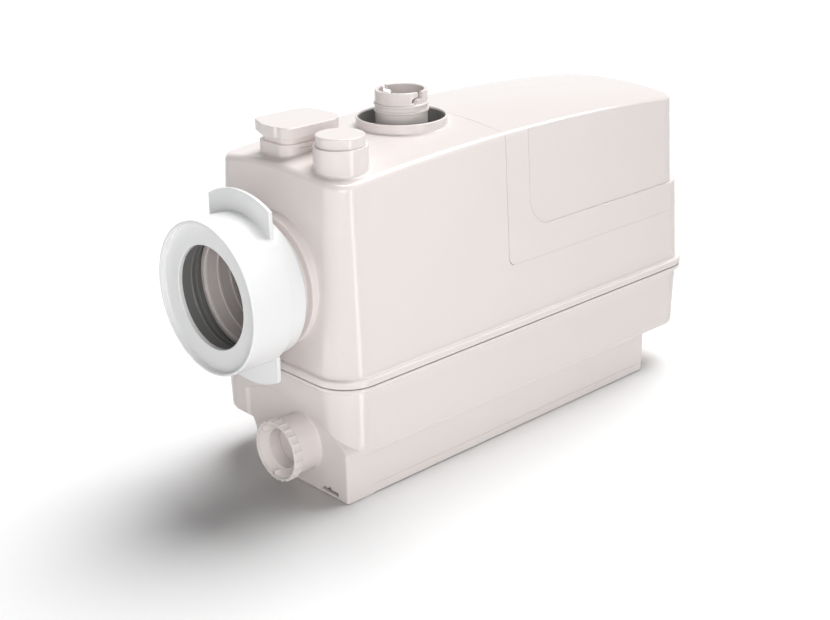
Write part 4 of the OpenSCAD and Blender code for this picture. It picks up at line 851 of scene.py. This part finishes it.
# %% Valve ring of the shower stub
def build_valve_ring():
    """Turned ring whose grip adds 0.35 + 0.85 cos(24 angle) squared to its radius, with ears and stops."""
    front = -LEFT_X + 30
    pin_x, pin_z = 21.4 - front, SHOWER_Z + 19.7
    profile = soften([(17.5, front - 19), (20.9, front - 19), (20.9, front - 8.9), (26.0, front - 8.9),
                      (26.0, front), (24.4, front), (24.0, front - 2.5), (19.4, front - 6.6),
                      (18.6, front - 7.4), (17.5, front - 7.4)],
                     [0.3, 0.5, 0, 1.1, 0.75, 0.6, 0.8, 0.5, 0.4, 0.7], 5)
    grip = np.column_stack([profile, (profile[:, 0] > STUB_R) * 1.0])
    ring = lathe("valve_ring", grip, MINUS_X, STUB, 192, lambda t: 0.85 * np.clip(np.cos(24 * t), 0, 1) ** 2 + 0.35)
    ear = soften([(-2, -0.6), (2, -0.6), (2, 4.6), (-2, 4.6)], [0, 0, 1.95, 1.95], 6)
    steps = [("+", slab("pin_ear", ear, [(s * 5.7 - 1.3, 0), (s * 5.7 + 1.3, 0)], [[0, 0, 1], [1, 0, 0], [0, 1, 0]],
                        (pin_x - 2.4, SHOWER_Y, pin_z))) for s in (-1, 1)]
    steps.append(("-", rod("pin_hole", 1.25, -15, 15, "y", (pin_x, SHOWER_Y, pin_z), 32)))
    for turn, depth in ((-82, 0.8), (38, 2.2), (158, 2.2)):
        c, s = math.cos(math.radians(turn)), math.sin(math.radians(turn))
        axes, foot = [[0, c, s], [0, -s, c], [-1, 0, 0]], (0, SHOWER_Y + 21.7 * c, SHOWER_Z + 21.7 * s)
        levels = edged(front - 9.0, front - depth, 0, 0.5)
        steps.append(("+", slab("stop", rounded(4.6, 1.9, 0.7, 0, 0, 4), levels, axes, foot)))
    return shape(ring, *steps)


complete(build_valve_ring(), FINISH["body_plastic"], "tank", ["shower_valve_ring"], 40)

# %% [markdown]
# ## Cap and lid
# The spare inlet's cap is turned in one profile, with the groove of its seal. The vent's lid is
# drawn as an outline with large corners on one end and a grip on the other, and plugs into the neck.

# %% Cap of the spare inlet and lid of the vent
def build_cap():
    """Turned cap: a half profile from the axis over the top, down the skirt and back inside."""
    skirt = [(0, 304.2), (20.2, 304.2), (20.2, PORT_TOP), (18, PORT_TOP), (18, 291), (15.8, 291), (15.8, 288.4),
             (18, 288.4), (18, 284.4), (13.4, 284.4), (13.4, 298.4), (0, 298.4)]
    radii = [0, 1.3, 0.3, 0, 0, 0, 0, 0, 0.8, 0.4, 1, 0]
    return lathe("port_stopper", soften(skirt, radii, 6, False), place=PORT, ring=False)


def build_lid():
    """Slab from a nine-cornered outline, joined with a plug with rounded corners and hollowed."""
    corners = [(-28.5, -27.5, 5), (33.2, -27.5, 18), (33.2, 25.0, 18), (-24, 25.0, 7), (-29, 13, 3), (-33.2, 3, 3),
               (-33.2, -13.4, 1.4), (-31, -14.6, 0.8), (-31, -19.5, 2)]
    outline = soften([(LID_X + x, LID_Y + y) for x, y, _ in corners], [r for *_, r in corners], 8)
    lid = slab("vent_cap", outline, edged(LID_BOTTOM, LID_BOTTOM + 9, 0.4, 1.1))
    plug = slab("plug", rounded(43.4, 30.4, 5.7, LID_X, LID_Y), edged(291, 297, 0.6, 0))
    inside = slab("inside", rounded(40, 27, 4, LID_X, LID_Y), [(280, 0), (301, 0)])
    return shape(lid, ("+", plug), ("-", inside))


complete(build_cap(), FINISH["body_plastic"], "cap", ["port_cap"])
complete(build_lid(), FINISH["body_plastic"], "lid", ["vent_lid"])

# %% [markdown]
# ## The outlet pipe
# The pipe is turned with two ribs for a hose clip and cut by two hooked bayonet slots, opposite
# each other.

# %% Outlet pipe
def rib(z):
    """Profile points of a small rib round the pipe at height z."""
    return [(PIPE_R, z - 1.5), (PIPE_R + 1.1, z - 0.8), (PIPE_R + 1.1, z + 0.8), (PIPE_R, z + 1.5)]


def build_pipe():
    """Turned pipe with two ribs, cut twice by one hook-shaped outline that runs along the radius."""
    side = [(PIPE_R, 249), (PIPE_R, 255), (20.6, 255), (20.6, 257.6), (PIPE_R, 257.6), *rib(297.5), *rib(303),
            (PIPE_R, PIPE_TOP)]
    profile = side + [(19.5, PIPE_TOP), (19.5, 249)]
    radii = [0.6, 0.3, 0, 0, 0.3] + [0.8] * 8 + [0.9, 0.9, 0.6]
    pipe = lathe("outlet_pipe", soften(profile, radii, 5), place=OUTLET, n=144)
    hook = soften([(-2.4, 318), (2.6, 318), (2.6, 309.4), (-2.6, 308.4), (-4.0, 305.6), (-8.4, 305.6),
                   (-8.4, 309.6), (-2.4, 311.2)], [0, 0, 1.5, 1.5, 1.6, 1.9, 1.9, 1.0], 5)
    for angle in (BAYONET_TURN, BAYONET_TURN + 180):
        c, s = math.cos(math.radians(angle)), math.sin(math.radians(angle))
        shape(pipe, ("-", slab("hook", hook, [(12, 0), (27, 0)], [[-s, c, 0], [0, 0, 1], [c, s, 0]], OUTLET)))
    return pipe


complete(build_pipe(), FINISH["body_plastic"], "tank", ["discharge_pipe"])

# %% [markdown]
# ## The seal's lips inside the sleeve
# A smooth collar of dark rubber leads the toilet's outlet to two soft lips that grip it. In the
# photograph they are the curved bands in the dark hole, so their tips are rounded.

# %% Lip seal
def build_seal():
    """Turned seal: a smooth collar, then two lips whose tips stand 4.7 mm into the bore."""
    profile = [(51.4, 257.6), (60.2, 257.6), (60.2, 285.8), (45.2, 285.8), (46.4, 276.0)]
    radii = [0.4, 0.4, 0.4, 0.8, 1.0]
    for z in (274.6, 269.6):
        profile += [(45.3, z), (49.7, z - 2.3), (50.0, z - 2.9)]
        radii += [0.7, 0.6, 0.4]
    profile += [(50.1, 264.5), (51.4, 264.5)]
    radii += [0.3, 0.3]
    return lathe("sleeve_lips", soften(profile, radii, 4), MINUS_X, INLET, 128)


complete(build_seal(), FINISH["black_rubber"], "sleeve", ["wc_seal"], 50)

# %% [markdown]
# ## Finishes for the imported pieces
# The pump, the motor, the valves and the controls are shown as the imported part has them. Each
# takes the finish of its slot in the record. They are plain machined and cast shapes, so a fine
# bevel on their welded edges is enough to catch the light.

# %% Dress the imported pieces
slot_of = {row["node"]: row["material_slot"] for row in frame["record"]["subparts"]}
replaced_nodes = {"motor_cover", "upper_housing", "lower_tank", "wc_sleeve", "shower_valve_ring", "port_cap",
                  "vent_lid", "discharge_pipe", "wc_seal"}
for name, node in nodes.items():
    node.data.materials.clear()
    node.data.materials.append(FINISH[slot_of[name]])
    if name not in replaced_nodes:
        weld = node.modifiers.new("weld", "WELD")
        weld.merge_threshold = 2e-6
        soft = node.modifiers.new("soft edges", "BEVEL")
        soft.width, soft.segments, soft.limit_method = 0.00025, 2, "ANGLE"
        soft.angle_limit = math.radians(50)
        soft.use_clamp_overlap = True
print("packed pieces dressed:", len(nodes) - len(replaced_nodes))

# %% [markdown]
# ## Camera
# The photograph is taken from in front and to the left, a little above the roof. The camera's
# place and turn were found by fitting known points of the tank, and the lens gives the same
# perspective on a frame 830 pixels wide.

# %% Camera at the photograph's angle
yaw, pitch, roll = (math.radians(a) for a in (43.09, 21.43, -0.97))
forward = np.array([math.sin(yaw) * math.cos(pitch), math.cos(yaw) * math.cos(pitch), -math.sin(pitch)])
right = np.array([math.cos(yaw), -math.sin(yaw), 0.0])
up = np.cross(right, forward)
right, up = math.cos(roll) * right + math.sin(roll) * up, -math.sin(roll) * right + math.cos(roll) * up
camera_data = bpy.data.cameras.new("camera")
camera_data.sensor_fit = "HORIZONTAL"
camera_data.sensor_width = 36.0
camera_data.lens = 1402.5 / 830 * 36.0
camera_data.clip_end = 60.0
camera = bpy.data.objects.new("camera", camera_data)
scene.collection.objects.link(camera)
turn = np.eye(4)
turn[:3, 0], turn[:3, 1], turn[:3, 2], turn[:3, 3] = right, up, -forward, np.array([-886.1, -876.8, 577.9]) * MM
camera.matrix_world = Matrix(turn.tolist())
scene.camera = camera
print("lens:", round(camera_data.lens, 2), "mm")

# %% [markdown]
# ## Light
# The photograph has a white ground with a soft dark shadow to the left. A wide sun from the right
# makes that shadow and lights the ground evenly. A near softbox brightens the left part of the
# long side, so that it fades to the right, a fill lifts the inlet end, and two thin ones draw the
# lines along the roof's edges.

# %% Softboxes and sun
def softbox(name, place, aim, size, power):
    """Rectangular area light of size (width, height) at place, in metres, turned towards aim."""
    data = bpy.data.lights.new(name, "AREA")
    data.shape = "RECTANGLE"
    data.size, data.size_y = size
    data.energy = power
    lamp = bpy.data.objects.new(name, data)
    scene.collection.objects.link(lamp)
    z = np.asarray(place, float) - np.asarray(aim, float)
    z /= np.linalg.norm(z)
    x = np.cross([0, 0, 1], z)
    x /= np.linalg.norm(x)
    m = np.eye(4)
    m[:3, 0], m[:3, 1], m[:3, 2], m[:3, 3] = x, np.cross(z, x), z, place
    lamp.matrix_world = Matrix(m.tolist())
    return lamp


front = softbox("front", (-0.75, -1.05, 0.5), (-0.15, 0, 0.15), (0.7, 0.7), 7.6)
fill = softbox("left_fill", (-2.0, 0.1, 0.45), (-0.2, 0, 0.15), (0.9, 0.8), 2.0)
softbox("roof_line", (1.25, -0.8, 1.65), (0, -0.07, 0.28), (3.0, 0.12), 1.8)
softbox("end_line", (-1.0, 1.6, 1.75), (-0.22, 0, 0.28), (1.6, 0.10), 1.2)
sun = bpy.data.lights.new("key", "SUN")
sun.energy, sun.angle = 3.6, math.radians(46)
key = bpy.data.objects.new("key", sun)
scene.collection.objects.link(key)
key.matrix_world = Matrix.Rotation(math.radians(12), 4, "Z") @ Matrix.Rotation(math.radians(30), 4, "Y")

# %% [markdown]
# ## The studio's walls
# A glossy upright wall that is seen from above mirrors what stands low round the room. So the
# world has upright bands of light at chosen angles, given below in degrees round the part, and
# they make the streaks on the corners. Higher up they blend into a grey ceiling. Reflections see
# the bands at full strength, and matt surfaces get much less of them, which keeps the shadow dark.

# %% World with reflecting bands
GLOSS_LEVEL, MATT_LEVEL, CEILING = 4.0, 0.7, 0.075
BANDS = [(-180, 0.95), (-135, 0.90), (-129, 0.55), (-94, 0.50), (-90, 4.0), (-81, 4.0), (-78, 0.30), (-52, 0.35),
         (-46, 1.20), (-30, 0.80), (0, 0.60), (20, 0.95), (70, 1.0), (110, 0.5), (136, 0.55), (142, 1.60),
         (172, 1.50), (180, 0.95)]
world = bpy.data.worlds.new("studio")
scene.world = world
world.use_nodes = True
add, link = world.node_tree.nodes.new, world.node_tree.links.new
background = world.node_tree.nodes["Background"]
where, split, angle = add("ShaderNodeTexCoord"), add("ShaderNodeSeparateXYZ"), add("ShaderNodeMath")
angle.operation = "ARCTAN2"
link(where.outputs["Generated"], split.inputs[0])
link(split.outputs["Y"], angle.inputs[0])
link(split.outputs["X"], angle.inputs[1])
place = add("ShaderNodeMapRange")
place.inputs["From Min"].default_value, place.inputs["From Max"].default_value = -math.pi, math.pi
link(angle.outputs[0], place.inputs["Value"])
ramp = add("ShaderNodeValToRGB")
link(place.outputs["Result"], ramp.inputs["Fac"])
while len(ramp.color_ramp.elements) < len(BANDS):
    ramp.color_ramp.elements.new(0.5)
for stop, (degrees, value) in zip(ramp.color_ramp.elements, BANDS):
    stop.position = (degrees + 180) / 360
    stop.color = (*[value / GLOSS_LEVEL] * 3, 1)
print("bands in the studio's wall:", len(BANDS))

# %% Ceiling and strength
rise = add("ShaderNodeMapRange")
rise.interpolation_type = "SMOOTHSTEP"
rise.inputs["From Min"].default_value, rise.inputs["From Max"].default_value = 0.15, 0.75
link(split.outputs["Z"], rise.inputs["Value"])
blend = add("ShaderNodeMix")
blend.data_type = "RGBA"
blend.inputs["B"].default_value = (CEILING, CEILING, CEILING, 1)
link(rise.outputs["Result"], blend.inputs["Factor"])
link(ramp.outputs["Color"], blend.inputs["A"])
link(blend.outputs["Result"], background.inputs["Color"])
ray, level = add("ShaderNodeLightPath"), add("ShaderNodeMapRange")
level.inputs["To Min"].default_value, level.inputs["To Max"].default_value = MATT_LEVEL, GLOSS_LEVEL
link(ray.outputs["Is Glossy Ray"], level.inputs["Value"])
link(level.outputs["Result"], background.inputs["Strength"])
print("ceiling's brightness in reflections:", CEILING * GLOSS_LEVEL)

# %% [markdown]
# ## Floor
# The floor is a plain pale sheet. It is left out of reflections, which would blot out the bands,
# and light linking keeps the two near softboxes off it, so that they don't fill its shadow.

# %% Floor
FLOOR_HALF, FLOOR_N = 12, 9
edge = np.linspace(-FLOOR_HALF, FLOOR_HALF, FLOOR_N)
grid = np.stack(np.meshgrid(edge, edge, indexing="ij"), -1).reshape(-1, 2)
i, j = np.meshgrid(np.arange(FLOOR_N - 1), np.arange(FLOOR_N - 1), indexing="ij")
first = (i * FLOOR_N + j).ravel()
floor_mesh = bpy.data.meshes.new("floor")
floor_mesh.from_pydata(np.column_stack([grid, np.zeros(len(grid))]).tolist(), [],
                       np.stack([first, first + FLOOR_N, first + FLOOR_N + 1, first + 1], 1).tolist())
floor = bpy.data.objects.new("floor", floor_mesh)
scene.collection.objects.link(floor)
floor.data.materials.append(finish("pale_floor", (0.95, 0.95, 0.95), (0.96, 0.96, 0.96), (0.7, 0.8), bump=0.0))
floor.visible_glossy = False
ground = bpy.data.collections.new("ground")
ground.objects.link(floor)
ground.collection_objects[0].light_linking.link_state = "EXCLUDE"
for lamp in (front, fill):
    lamp.light_linking.receiver_collection = ground
scene.view_settings.view_transform = "Standard"
scene.view_settings.look = "None"
print("floor:", 2 * FLOOR_HALF, "m across")
